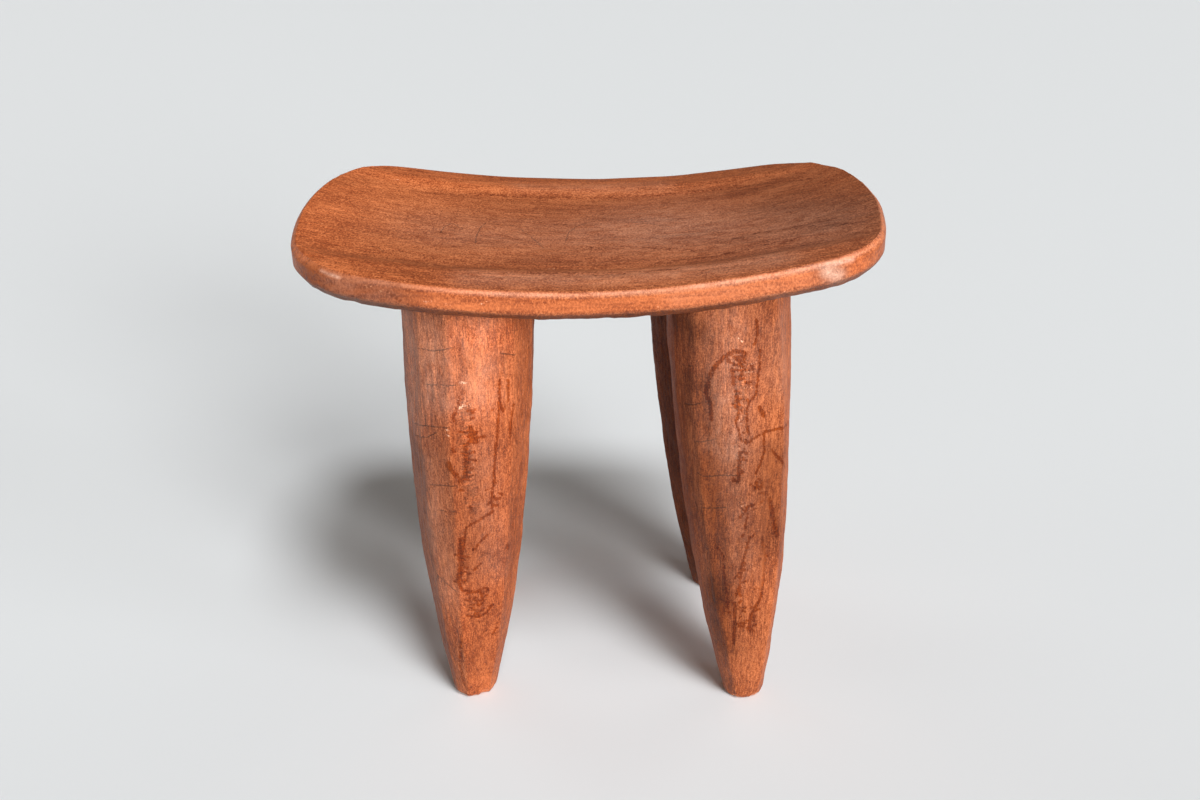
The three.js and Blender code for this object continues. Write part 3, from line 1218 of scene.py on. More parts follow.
@dataclass
class Seat:
    """The seat: one thick plank, bent up at its ends, hollowed on top, with rounded edges.

    Attributes:
        plan: Its sizes.
        long_steps: Steps along the front and the back.
        short_steps: Steps along each end.
        corner_steps: Steps round each corner.
        arris_steps: Steps round each edge.
        arris_profile: How full the edges are rounded, 0.5 for a quarter of a circle.
        wall_cuts: Levels added between the edges.
        easing: How often the outline is smoothed where an arc runs into the next one.
        allowance: How much the tools take off everywhere in mm.
        legs_reach: How far the legs' shoulders reach from the middle, along and across.
    """

    plan: SeatPlan
    long_steps: int = 170
    short_steps: int = 90
    corner_steps: int = 50
    arris_steps: int = 6
    arris_profile: float = 0.34
    wall_cuts: int = 4
    easing: int = 60
    allowance: float = 0.4
    legs_reach: Point = (160.0, 142.0)

    def saw_out(self) -> bpy.types.Object:
        """Cuts the plank's flat blank with its rounded edges.

        Returns:
            The blank, its top level with z = 0.
        """
        arcs = self.plan.outline(self.long_steps, self.short_steps, self.corner_steps)
        start = self.joint_of(arcs[-1], arcs[0])
        deselect_all()
        bpy.ops.mesh.primitive_plane_add(size=MM, location=(start.x * MM, start.y * MM, 0))
        seat = bpy.context.active_object
        seat.name = "carved_seat"
        bpy.ops.object.transform_apply()
        with editing(seat):
            bpy.ops.mesh.select_all(action="SELECT")
            bpy.ops.mesh.merge(type="CENTER")
            for index, arc in enumerate(arcs):
                begin = self.joint_of(arcs[index - 1], arc) - arc.centre
                finish = self.joint_of(arc, arcs[(index + 1) % len(arcs)]) - arc.centre
                turn = math.atan2(begin.cross(finish), begin.dot(finish))
                bpy.ops.mesh.spin(
                    steps=arc.steps, angle=turn, axis=(0, 0, -1),
                    center=(arc.centre.x * MM, arc.centre.y * MM, 0),
                )
            bpy.ops.mesh.select_all(action="SELECT")
            bpy.ops.mesh.remove_doubles(threshold=5 * TOUCHING * MM)
            bpy.ops.mesh.vertices_smooth(factor=0.5, repeat=self.easing)
            bpy.ops.mesh.edge_face_add()
            drop = -self.plan.rim_thickness * MM
            bpy.ops.mesh.extrude_region_move(TRANSFORM_OT_translate={"value": (0, 0, drop)})
            bpy.ops.mesh.select_all(action="SELECT")
            bpy.ops.mesh.normals_make_consistent(inside=False)
        self.round_edges(seat)
        self.lay_grid(seat, 0.0)
        self.lay_grid(seat, -self.plan.rim_thickness)
        close_up(seat)
        return seat

    def joint_of(self, before: Arc, after: Arc) -> Vector:
        """Finds where an arc runs into the next one, on the line through both centres."""
        wide, tight = (before, after) if before.radius > after.radius else (after, before)
        return tight.centre + (tight.centre - wide.centre).normalized() * tight.radius

    def round_edges(self, seat: bpy.types.Object) -> None:
        """Rounds the blank's top and bottom edges and cuts levels into its wall.

        Args:
            seat: The blank.
        """
        thickness = self.plan.rim_thickness
        for level, radius in ((0.0, self.plan.top_arris), (-thickness, self.plan.bottom_arris)):
            with editing(seat):
                select_points(seat, np.abs(levels(seat) - level) < TOUCHING)
                bpy.ops.mesh.bevel(
                    offset=radius * MM, segments=self.arris_steps, profile=self.arris_profile,
                    affect="EDGES", clamp_overlap=False,
                )
        upper = -self.plan.top_arris
        lower = self.plan.bottom_arris - thickness
        with editing(seat):
            for cut in range(1, self.wall_cuts + 1):
                level = (upper + (lower - upper) * cut / (self.wall_cuts + 1)) * MM
                bpy.ops.mesh.select_all(action="SELECT")
                bpy.ops.mesh.bisect(plane_co=(0, 0, level), plane_no=(0, 0, 1))

    def lay_grid(self, seat: bpy.types.Object, level: float) -> None:
        """Replaces the blank's flat face at one level by an even grid.

        Args:
            seat: The blank.
            level: The face's height in mm.
        """
        span = self.long_steps + self.corner_steps
        with editing(seat):
            shape = bmesh.from_edit_mesh(seat.data)
            flat = [face for face in shape.faces
                    if abs(face.calc_center_median().z - level * MM) < TOUCHING * MM]
            cap = max(flat, key=lambda face: len(face.verts))
            bpy.ops.mesh.select_all(action="DESELECT")
            cap.select = True
            bpy.ops.mesh.delete(type="ONLY_FACE")
            shape = bmesh.from_edit_mesh(seat.data)
            rim = [vertex for vertex in shape.verts if vertex.is_boundary]
            bpy.ops.mesh.select_mode(type="VERT")
            for vertex in rim:
                vertex.select = True
            shape.select_flush(True)
            corner = min(rim, key=lambda vertex: vertex.co.x + vertex.co.y)
            shape.select_history.clear()
            shape.select_history.add(corner)
            bpy.ops.mesh.fill_grid(span=span, offset=0)

    def bend_and_hollow(self, seat: bpy.types.Object) -> None:
        """Bends the blank up at its ends, hollows its top and swells its underside.

        Args:
            seat: The blank.
        """
        plan = self.plan
        x, y, level = read_points(seat).T
        rim = plan.rim_line(x, y)
        top_share = np.clip(1 + level / plan.top_arris, 0, 1)
        low_share = np.clip((-level - plan.rim_thickness) / plan.bottom_arris + 1, 0, 1)
        top_lift = (plan.top_height(x, y) - rim) * top_share**2
        belly = (plan.underside_height(x, y) + plan.rim_thickness - rim) * low_share**2
        write_points(seat, np.column_stack([x, y, rim + level + top_lift + belly]))

    def carve(self, seat: bpy.types.Object) -> None:
        """Leaves the marks of gouge, rasp and adze, but none where the legs' shoulders meet it.

        Args:
            seat: The bent plank.
        """
        points = read_points(seat)
        normals = read_normals(seat)
        level = np.abs(normals[:, 2])
        below = smoothstep(-normals[:, 2], 0.2, 0.8)
        broad = SEAT_SWAY.at(points) * (0.2 + 0.8 * level)
        gouge = SEAT_GOUGE.at(points) * level
        rasp = SEAT_RASP.at(points) * level
        raised = broad - self.allowance + gouge + rasp - below * np.abs(SEAT_ADZE.at(points))
        reach_x, reach_y = self.legs_reach
        near_leg = (below > 0.5) & (np.abs(points[:, 0]) < reach_x) & (np.abs(points[:, 1]) < reach_y)
        raised = np.where(near_leg, 0.0, raised)
        write_points(seat, points + normals * raised[:, None])

    def mark(self, seat: bpy.types.Object) -> None:
        """Paints the marks, the tones, the worn places and the painted light, shade, highlights and
        sheen of the seat.

        Args:
            seat: The carved seat.
        """
        points = read_points(seat)
        x, y, height = points.T
        facing = read_normals(seat)
        upward = smoothstep(facing[:, 2], 0.3, 0.7)
        frontward = smoothstep(-facing[:, 1], 0.4, 0.8)
        top, edge = Canvas(points[:, :2]), Canvas(points[:, [0, 2]])
        stain = upward * top.soft(SEAT_TOP_MARKS.stains)
        stain += frontward * edge.soft(SEAT_EDGE_MARKS.stains)
        scuff = upward * top.soft(SEAT_TOP_MARKS.scuffs)
        scuff += frontward * edge.soft(SEAT_EDGE_MARKS.scuffs)
        offset, strength = top.thin(SEAT_TOP_MARKS.checks)
        painted_light = upward * top.broad(SEAT_TOP_PAINTED_SHADING) + frontward * edge.broad(SEAT_EDGE_PAINTED_SHADING)
        painted_sheen = upward * top.broad(SEAT_TOP_PAINTED_SHEEN) + frontward * edge.broad(SEAT_EDGE_PAINTED_SHEEN)

        depth = self.plan.rim_line(x, y) - height
        # The arris line is partly wear and partly a painted highlight.
        worn_highlight_depth, worn_highlight_breadth = 1.4, 1.1
        arris = np.exp(-(((depth - worn_highlight_depth) / worn_highlight_breadth) ** 2))
        arris *= smoothstep(facing[:, 2], 0.1, 0.4) * (1 - smoothstep(facing[:, 2], 0.9, 0.99))
        # The lower rounded edge gets painted shade, as it faces down.
        to_bottom = self.plan.rim_thickness - depth
        lower = 1 - smoothstep(to_bottom, 4.0, 6.5)
        hollow = self.plan.hollow(x, y) * upward
        # The edge wall is made paler and warmer as painted light, where it faces the lamps.
        side = (1 - upward) * smoothstep(facing[:, 2], -0.5, 0.0)
        # The part of the front arris that faces the lamps gets a painted highlight.
        lit = frontward * smoothstep(x, -170, -60)
        # The right end's wall gets painted shade, as it turns from the lamps.
        right_end = (1 - upward) * smoothstep(x, 180, 212)
        # The top is warmer towards the left end, which faces the lamps, as painted light, and cooler
        # in the hollow as painted sheen.
        full_tone_at = 190
        leftward = upward * np.clip(-x / full_tone_at, -1, 1)
        # Besides the marks, these layers paint light: the arris and the edge wall paler, painted
        # highlight and sheen along the lit arris, painted shade on the lower edge and the right end's
        # wall.
        layers = {
            "stain": stain,
            "scuff": scuff,
            "check_offset": offset,
            "check_strength": strength * upward,
            "wear_and_highlight": 0.4 * arris + 0.45 * side + 0.18 * upward * (1 - hollow),
            "tone": 0.3 * leftward - 0.3 * hollow + 0.5 * side,
            "painted_light": painted_light + 0.36 * arris * lit - 1.3 * lower - 0.85 * right_end,
            "painted_sheen": painted_sheen + 0.32 * arris * lit,
        }
        store(seat, layers)

    def build(self, legs: Sequence["Leg"], finish: bpy.types.Material) -> bpy.types.Object:
        """Makes the seat.

        Args:
            legs: The legs whose sockets it holds.
            finish: Its material.

        Returns:
            The finished seat.
        """
        seat = self.saw_out()
        self.bend_and_hollow(seat)
        self.carve(seat)
        for leg in legs:
            work(seat, leg.plug(FIT_GAP), Joinery.CUT)
        self.mark(seat)
        dress(seat, finish)
        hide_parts("seat")
        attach(seat, "root")
        return seat


# Legs


@dataclass(frozen=True)
class Arris:
    """One long arris of a leg.

    Attributes:
        head: Its direction at the head, in degrees from the front towards the right.
        waist: Its direction at half height.
        foot: Its direction at the foot.
    """

    head: float
    waist: float
    foot: float

    def at(self, share: np.ndarray) -> np.ndarray:
        """Gives its direction at shares of the leg's height, 0 at the foot and 1 at the head."""
        low = self.foot * (1 - share) * (1 - 2 * share)
        return low + self.waist * 4 * share * (1 - share) + self.head * share * (2 * share - 1)


@dataclass(frozen=True)
class Chip:
    """A chip off the foot's edge.

    Attributes:
        direction: Its middle, in degrees from the front towards the right.
        breadth: Half its width in degrees.
        height: How far up it reaches in mm.
        depth: How deep it is in mm.
    """

    direction: float
    breadth: float
    height: float
    depth: float

    def around(self, direction: np.ndarray) -> np.ndarray:
        """Gives how far directions lie from its middle, 1 at its sides."""
        return wrapped(direction - self.direction) / self.breadth


@dataclass(frozen=True)
class LegPlan:
    """One leg's sizes in mm and its own hand-made character.

    Attributes:
        name: Its node's name.
        end: -1 at the seat's left end, 1 at its right end.
        edge: -1 at the front, 1 at the back.
        arrises: Its long arrises, anticlockwise seen from above.
        tones: The tone of the facet after each arris, below zero for cool and above for warm.
        chips: The chips off its foot's edge.
        shown: The marks on the side that faces out.
        hidden: The marks on the side that faces in.
        seed: The seed of its unevenness.
        girth: Its thickness as a share of the usual one.
        from_end: The head's distance from the seat's end.
        from_edge: The head's distance from the seat's edge.
        splay_along: How far the foot stands outwards along the seat.
        splay_across: How far the foot stands outwards across the seat.
        washes: Broad painted light and shade, whose directions count from the front.
        blooms: Broad places of painted sheen, whose directions count from the front.
    """

    name: str
    end: int
    edge: int
    arrises: tuple[Arris, ...]
    tones: tuple[float, ...]
    chips: tuple[Chip, ...]
    shown: Marks
    hidden: Marks
    seed: int
    girth: float = 1.0
    from_end: float = 128.6
    from_edge: float = 71.7
    splay_along: float = 14.6
    splay_across: float = -3.5
    washes: tuple[Stroke, ...] = ()
    blooms: tuple[Stroke, ...] = ()


def straight_arrises(first: float, twist: float, widths: Sequence[float]) -> tuple[Arris, ...]:
    """Draws arrises that turn evenly from head to foot.

    Args:
        first: The first arris's direction at the head in degrees.
        twist: How far all of them turn towards the foot.
        widths: The facets' widths in degrees.

    Returns:
        The arrises.
    """
    arrises = []
    direction = first
    for width in widths:
        arrises.append(Arris(direction, direction + twist / 2, direction + twist))
        direction += width
    return tuple(arrises)


FRONT_LEFT_MARKS = Marks(
    stains=[
        *strokes(
            [(35, 311), (35, 294), (33, 274), (31, 248), (30, 226), (27, 209), (29, 197),
             (15, 192), (-1, 186), (-4, 170), (-6, 156), (-8, 141)],
            [(49, 288), (46, 276), (45, 261)],
            [(43, 309), (43, 293), (38, 284), (35, 293)],
            width=2.0, strength=0.9,
        ),
        *strokes(
            [(-15, 246), (-12, 240), (-8, 235)],
            [(6, 275), (8, 265), (1, 260), (2, 246), (0, 234), (-5, 229)],
            [(-6, 175), (-8, 164), (-7, 150), (-12, 136)],
            width=3.6, strength=0.85,
        ),
        *strokes(
            [(-12, 136), (-8, 125), (8, 122), (20, 124)],
            [(15, 121), (19, 111), (5, 113)],
            [(32, 105), (24, 97), (12, 94), (-4, 97)],
            [(23, 176), (14, 170), (6, 164)],
            [(15, 149), (7, 144)],
            [(43, 77), (37, 71)],
            width=2.2, strength=0.75,
        ),
        *strokes(
            [(0, 305), (-4, 296), (-9, 285), (-7, 280)],
            [(-14, 76), (-24, 39), (-22, 16)],
            width=3.0, strength=0.5,
        ),
        *flecks([(4, 288), (4, 262), (0, 240), (-8, 222)], (5, 2), 30, 8),
        *flecks([(-7, 178), (-7, 150), (-10, 130)], (3, 2), 16, 6),
        *flecks([(15, 122), (3, 110), (10, 96)], (8, 3), 20, 9),
        *flecks([(34, 305), (31, 250), (28, 205)], (3, 2), 10, 4),
        *strokes(
            [(-10, 258), (-9, 256)], [(24, 123), (25, 121)], [(-7, 163), (-6, 160)],
            [(-10, 131), (-9, 128)], [(11, 268), (12, 264)], [(-17, 243), (-15, 241)],
            [(4, 205), (5, 203)], [(48, 162), (48, 158)],
            width=2.6, strength=0.9,
        ),
    ],
    checks=strokes(
        [(-42, 337), (-26, 337), (-9, 341)],
        [(-35, 309), (-19, 311), (-6, 311)],
        [(-65, 269), (-38, 274), (-13, 277)],
        [(-59, 260), (-38, 264), (-27, 270)],
        [(-52, 161), (-51, 141), (-40, 135), (-56, 117)],
        [(-40, 135), (-27, 129), (-15, 123)],
        [(36, 332), (50, 328)], [(-37, 223), (-9, 226)], [(-30, 201), (-10, 202)],
        [(-29, 309), (-29, 297)], [(-38, 283), (-38, 277)],
        strength=0.9,
    ),
    scuffs=[
        *strokes(
            [(-3, 313), (4, 312)], [(-3, 292), (1, 295)], [(-15, 275), (-13, 274)],
            [(-16, 271), (-13, 270)],
            width=1.7, strength=0.9,
        ),
        *ladder((-4, 283), 3.4, 6, 9, 0.6),
        *ladder((2, 226), 3.3, 9, 9, 0.5),
    ],
    # The narrow band along the arris at 40 degrees is a painted highlight; the wide band near the head
    # makes the top of the front paler.
    shines=[
        *strokes([(40, 345), (41, 290), (40, 255)], width=3, strength=0.4),
        *strokes([(10, 330), (12, 310)], width=22, strength=0.35),
    ],
    ripples=[
        *strokes([(2, 292), (0, 262), (2, 240), (6, 205)], width=10, strength=1.0),
        *strokes([(-3, 180), (-6, 120), (10, 95)], width=9, strength=0.5),
    ],
)
FRONT_RIGHT_MARKS = Marks(
    stains=[
        *strokes(
            [(12, 329), (0, 331), (-12, 326), (-22, 318), (-28, 308), (-31, 297), (-28, 287),
             (-28, 275)],
            width=3.0, strength=0.9,
        ),
        *strokes(
            [(25, 354), (26, 344), (22, 335)],
            [(28, 330), (28, 316), (26, 304), (24, 294), (16, 289), (13, 281), (13, 268),
             (15, 261)],
            [(3, 287), (3, 279), (-1, 273), (2, 266), (4, 258), (12, 254), (23, 258), (33, 262),
             (51, 263), (78, 260)],
            [(33, 260), (34, 245), (28, 234), (23, 227)],
            [(43, 245), (52, 235), (61, 225)],
            [(10, 196), (0, 188)],
            [(11, 191), (7, 178)],
            width=2.2, strength=0.85,
        ),
        *strokes(
            [(-3, 316), (-2, 305)], [(1, 295), (3, 287)], [(3, 247), (2, 238)],
            [(1, 232), (-1, 222), (-7, 223)], [(4, 324), (9, 317), (7, 309)],
            [(28, 283), (33, 276)],
            width=3.6, strength=0.85,
        ),
        *strokes(
            [(13, 170), (8, 156), (0, 142), (-2, 127), (-11, 114)],
            [(33, 167), (36, 148), (34, 128), (31, 110), (19, 97), (11, 84)],
            [(-13, 104), (-15, 86), (-19, 64)],
            [(-6, 82), (-1, 82)],
            [(9, 81), (19, 76)],
            width=2.6, strength=0.8,
        ),
        *strokes([(40, 203), (46, 183), (51, 167)], width=3.6, strength=0.7),
        *flecks([(-8, 327), (6, 322), (6, 304), (2, 284)], (5, 2), 30, 8),
        *flecks([(2, 290), (3, 262), (0, 225)], (2.5, 2), 22, 6),
        *flecks([(22, 220), (34, 208), (12, 192)], (5, 3), 18, 8),
        *flecks([(13, 172), (0, 142), (-8, 118)], (4, 4), 18, 6),
        *flecks([(34, 160), (33, 126), (19, 97), (11, 84)], (4, 4), 20, 6),
        *flecks([(-6, 104), (0, 82), (16, 76)], (7, 5), 22, 7),
        *strokes(
            [(-32, 110), (-24, 107), (-12, 106)],
            [(-26, 136), (-24, 122), (-24, 99)],
            [(-31, 162), (-24, 152), (-26, 131)],
            width=2.0, strength=0.6,
        ),
        *strokes(
            [(-8, 326), (-6, 324)], [(9, 327), (11, 325)], [(19, 319), (20, 316)],
            [(12, 256), (14, 255)], [(0, 226), (1, 223)], [(23, 219), (25, 215)],
            [(31, 218), (30, 214)], [(-4, 122), (-4, 118)], [(11, 78), (13, 76)],
            width=2.8, strength=0.9,
        ),
    ],
    checks=strokes(
        [(-44, 228), (-37, 226), (-25, 227), (0, 227)],
        [(-54, 316), (-43, 318)], [(-55, 284), (-30, 290)], [(-44, 255), (-25, 258)],
        [(-41, 197), (-17, 198)],
        strength=0.85,
    ),
    scuffs=[
        *strokes([(5, 341), (10, 338)], [(-12, 290), (-8, 292)], width=1.6, strength=0.7),
        *ladder((9, 297), 3.2, 8, 12, 0.65),
        *ladder((3, 268), 3.2, 6, 8, 0.55),
        *ladder((2, 196), 3.3, 5, 8, 0.5),
    ],
    shines=strokes([(38, 240), (33, 180), (30, 120)], width=9, strength=0.4),
    ripples=[
        *strokes([(10, 318), (6, 300), (2, 285)], width=11, strength=0.9),
        *strokes([(2, 245), (0, 205)], width=9, strength=0.6),
    ],
)

USUAL_FACETS = (30.0, 60.0, 43.0, 45.0, 50.0, 45.0, 45.0, 42.0)
LEG_WANDER = Undulation(1.0, (400, 400, 150), seed=0, waves=6)
LEG_SWAY = Undulation(0.32, (70, 70, 85), seed=10)
LEG_DRAWKNIFE = Undulation(0.09, (6, 6, 90), seed=20, waves=26)
LEG_RASP = Undulation(0.10, (11, 11, 22), seed=30, waves=26)
LEG_PLANS = (
    LegPlan(
        name="leg_front_left",
        end=-1,
        edge=-1,
        from_end=133.8,
        from_edge=72.2,
        splay_along=17.3,
        splay_across=-10.8,
        arrises=straight_arrises(-43, 0, USUAL_FACETS),
        # These tones partly paint light: the front facet warmer where it faces the lamps, the left and
        # back facets cooler as painted sheen.
        tones=(-0.35, 0.55, 0.15, 0.0, -0.2, 0.1, -0.2, -0.5),
        chips=(Chip(-38, 20, 5, 1.6), Chip(34, 16, 6, 1.8), Chip(4, 8, 2.5, 0.7)),
        shown=FRONT_LEFT_MARKS,
        hidden=FRONT_RIGHT_MARKS.mirrored(0.55),
        # Painted light and shade on the front left leg: paler near the head where the lamps reach
        # under the seat, darker down the middle of the front.
        washes=(
            Stroke(((-64, 345), (-64, 270)), 26, 0.8),
            Stroke(((-27, 345), (-27, 290)), 22, 0.35),
            Stroke(((0, 350), (40, 346)), 26, 0.5),
            Stroke(((18, 345), (20, 292)), 24, 0.42),
            Stroke(((-35, 240), (-35, 180)), 24, -0.2),
            Stroke(((5, 235), (5, 160)), 34, -0.45),
            Stroke(((58, 340), (58, 290)), 24, 0.15),
            Stroke(((-20, 120), (-19, 78)), 20, 0.37),
            Stroke(((5, 140), (10, 40)), 26, -0.2),
        ),
        # Painted sheen: a cool reflection on the upper left facets and a paler sheen on the front.
        blooms=(
            Stroke(((-60, 345), (-60, 280)), 30, 0.2),
            Stroke(((-27, 350), (-24, 300)), 24, 0.16),
            Stroke(((14, 350), (16, 300)), 34, 0.14),
            Stroke(((18, 250), (34, 140)), 28, 0.06),
            Stroke(((-45, 240), (-38, 120)), 26, 0.1),
        ),
        seed=21,
    ),
    LegPlan(
        name="leg_front_right",
        end=1,
        edge=-1,
        from_end=123.3,
        from_edge=71.9,
        splay_along=22.8,
        splay_across=-1.1,
        girth=0.945,
        arrises=(
            Arris(-68, -64, -60),
            Arris(-37, -41, -23),
            Arris(43, 54, 37),
            Arris(84, 88, 88),
            Arris(129, 133, 137),
            Arris(172, 176, 180),
            Arris(214, 218, 222),
            Arris(256, 260, 264),
        ),
        tones=(-0.2, 0.1, 0.1, 0.0, 0.1, -0.1, 0.0, -0.2),
        chips=(Chip(-30, 14, 4, 1.0), Chip(36, 20, 5, 1.5)),
        shown=FRONT_RIGHT_MARKS,
        hidden=FRONT_LEFT_MARKS.mirrored(0.55),
        # Painted light and shade on the front right leg: paler at the top of its front, darker down
        # its front and right, and deep painted shade on its left facets, which turn from the lamps,
        # and under the seat.
        washes=(
            Stroke(((0, 350), (4, 310)), 34, 0.25),
            Stroke(((-3, 240), (-3, 150)), 34, -0.55),
            Stroke(((44, 240), (42, 170)), 30, -0.75),
            Stroke(((52, 320), (52, 290)), 22, -0.15),
            Stroke(((-33, 340), (-30, 310)), 16, -0.45),
            Stroke(((-32, 300), (-30, 200), (-32, 110)), 17, -1.0),
            Stroke(((-54, 300), (-54, 200)), 26, -0.4),
            Stroke(((-62, 352), (-48, 352), (-34, 348)), 18, -0.8),
            Stroke(((-37, 120), (-37, 60)), 22, -0.95),
            Stroke(((13, 90), (13, 50)), 26, -0.2),
        ),
        # Painted sheen on the front of its head and its upper right.
        blooms=(
            Stroke(((-2, 350), (-6, 260)), 34, 0.14),
            Stroke(((-3, 240), (0, 140)), 34, 0.05),
            Stroke(((52, 345), (50, 300)), 24, 0.08),
        ),
        seed=22,
    ),
    LegPlan(
        name="leg_rear_right",
        end=1,
        edge=1,
        girth=1.02,
        arrises=straight_arrises(-37, 6, USUAL_FACETS),
        tones=(0.0, -0.1, 0.1, 0.2, -0.2, 0.1, 0.0, 0.0),
        chips=(Chip(150, 18, 5, 1.4), Chip(200, 14, 4, 1.0)),
        shown=FRONT_LEFT_MARKS.mirrored(0.6),
        hidden=FRONT_RIGHT_MARKS.mirrored(0.5),
        # Painted shade on the rear right leg's front and left, which stand in the shadow of the front
        # right leg and the seat.
        washes=(
            Stroke(((-56, 340), (-56, 20)), 54, -1.1),
            Stroke(((-56, 350), (-56, 320)), 40, -0.8),
        ),
        seed=23,
    ),
    LegPlan(
        name="leg_rear_left",
        end=-1,
        edge=1,
        arrises=straight_arrises(-50, -6, USUAL_FACETS),
        tones=(0.0, 0.1, -0.1, 0.1, 0.2, -0.2, 0.0, 0.0),
        chips=(Chip(170, 20, 5, 1.5), Chip(225, 12, 4, 1.0)),
        shown=FRONT_RIGHT_MARKS.mirrored(0.6),
        hidden=FRONT_LEFT_MARKS.mirrored(0.5),
        # Painted shade on the side of the rear left leg that faces in.
        washes=(Stroke(((60, 340), (60, 20)), 60, -0.6),),
        seed=24,
    ),
)


@dataclass
class Leg:
    """One leg: round at the head, thinning to a small foot, cut flat in long facets.

    Attributes:
        plan: Its own sizes and character.
        seat: The seat's sizes, whose underside it meets.
        head_radius: The usual radius at the head in mm.
        foot_radius: The usual radius at the foot.
        taper: How fast it thins towards the foot.
        flatness: How flat the facets are cut, up to 1.
        foot_edge_height: The height of the foot's rounded edge.
        foot_edge_inset: How far that edge draws in.
        tenon_radius: The tenon's radius.
        tenon_length: How far the tenon stands above the shoulder.
        tenon_root: How deep the tenon is rooted in the head.
        tenon_spread: How far the wedge spreads the tenon.
        tenon_sides: Sides of the tenon.
        wedge_length: The wedge's length.
        wedge_head: The wedge's thickness at its head.
        wedge_tip: The wedge's thickness at its tip.
        arris_rounding: The turns in degrees that the facets are averaged over at the arrises.
        allowance: How much the tools take off everywhere.
        scribing: How fast the scribing to the seat dies away below the head.
        sides: Sides of the rough blank.
        levels: Levels of the rough blank.
        fineness: Halvings of the rough blank's faces.
    """

    plan: LegPlan
    seat: SeatPlan
    head_radius: float = 49.7
    foot_radius: float = 18.2
    taper: float = 2.45
    flatness: float = 0.65
    foot_edge_height: float = 4.5
    foot_edge_inset: float = 1.8
    tenon_radius: float = 25.0
    tenon_length: float = 20.0
    tenon_root: float = 10.0
    tenon_spread: float = 2.0
    tenon_sides: int = 64
    wedge_length: float = 14.0
    wedge_head: float = 6.0
    wedge_tip: float = 1.6
    arris_rounding: tuple[float, ...] = (-2.2, -1.1, 0.0, 1.1, 2.2)
    allowance: float = 0.45
    scribing: int = 8
    sides: int = 56
    levels: int = 76
    fineness: int = 2

    def __post_init__(self) -> None:
        """Works out where the axis meets the seat's underside and the floor."""
        plan = self.plan
        head_x = plan.end * (self.seat.length / 2 - plan.from_end)
        head_y = plan.edge * (self.seat.depth / 2 - plan.from_edge)
        foot_x = head_x + plan.end * plan.splay_along
        foot_y = head_y + plan.edge * plan.splay_across
        self.head = Vector((head_x, head_y, float(self.seat.underside_height(head_x, head_y))))
        self.foot = Vector((foot_x, foot_y, 0.0))

    def radius(self, share: np.ndarray) -> np.ndarray:
        """Gives the radius at the arrises at shares of the height."""
        thinning = np.clip(1 - share, 0, 1) ** self.taper
        return self.plan.girth * (
            self.head_radius - (self.head_radius - self.foot_radius) * thinning
        )

    def centre(self, share: float) -> Vector:
        """Gives the axis's place at a share of the height."""
        return self.foot.lerp(self.head, share)

    def axis(self, share: np.ndarray) -> np.ndarray:
        """Gives the axis's places in plan, one row each, at shares of the height."""
        foot, head = np.array(self.foot.xy), np.array(self.head.xy)
        return foot + (head - foot) * share[:, None]

    def unrolled(self, route: np.ndarray) -> np.ndarray:
        """Turns directions and heights on the leg into flat places in mm."""
        reach = self.radius(route[:, 1] / self.head.z)
        return np.column_stack([np.radians(route[:, 0]) * reach, route[:, 1]])

    def rough_out(self) -> bpy.types.Object:
        """Draws the round tapering blank up from the foot.

        Returns:
            The blank, open at the foot and the head.
        """
        deselect_all()
        bpy.ops.mesh.primitive_circle_add(
            vertices=self.sides, radius=float(self.radius(0.0)) * MM, location=self.foot * MM
        )
        leg = bpy.context.active_object
        leg.name = f"carved_{self.plan.name}"
        bpy.ops.object.transform_apply()
        with editing(leg):
            bpy.ops.mesh.select_all(action="SELECT")
            for level in range(1, self.levels + 1):
                share, before = level / self.levels, (level - 1) / self.levels
                step = (self.centre(share) - self.centre(before)) * MM
                growth = float(self.radius(share) / self.radius(before))
                bpy.ops.mesh.extrude_region_move(TRANSFORM_OT_translate={"value": step})
                bpy.ops.transform.resize(
                    value=(growth, growth, 1), center_override=self.centre(share) * MM
                )
        pick_up(leg)
        finer = leg.modifiers.new("finer", "SUBSURF")
        finer.levels = self.fineness
        finer.render_levels = self.fineness
        bpy.ops.object.modifier_apply(modifier=finer.name)
        self.close_ends(leg)
        return leg

    def close_ends(self, leg: bpy.types.Object) -> None:
        """Closes the blank at its foot and head with a grid each.

        Args:
            leg: The open blank.
        """
        span = self.sides * 2**self.fineness // 4
        for low_end in (True, False):
            with editing(leg):
                shape = bmesh.from_edit_mesh(leg.data)
                middle = self.head.z * MM / 2
                chosen = [
                    vertex.is_boundary and (vertex.co.z < middle) == low_end
                    for vertex in shape.verts
                ]
                select_points(leg, np.array(chosen))
                bpy.ops.mesh.fill_grid(span=span, offset=0)
        close_up(leg)

    def directions(self, points: np.ndarray, facing: float = 0.0) -> np.ndarray:
        """Gives points' directions round the leg, in degrees from a facing towards the right."""
        east, north = (points[:, :2] - self.axis(points[:, 2] / self.head.z)).T
        return wrapped(np.degrees(np.arctan2(east, -north)) - facing)

    def canvas(self, points: np.ndarray, facing: float) -> Canvas:
        """Lays the leg's surface out flat, with zero at a facing in degrees."""
        direction = self.directions(points, facing)
        return Canvas(self.unrolled(np.column_stack([direction, points[:, 2]])), self.unrolled)

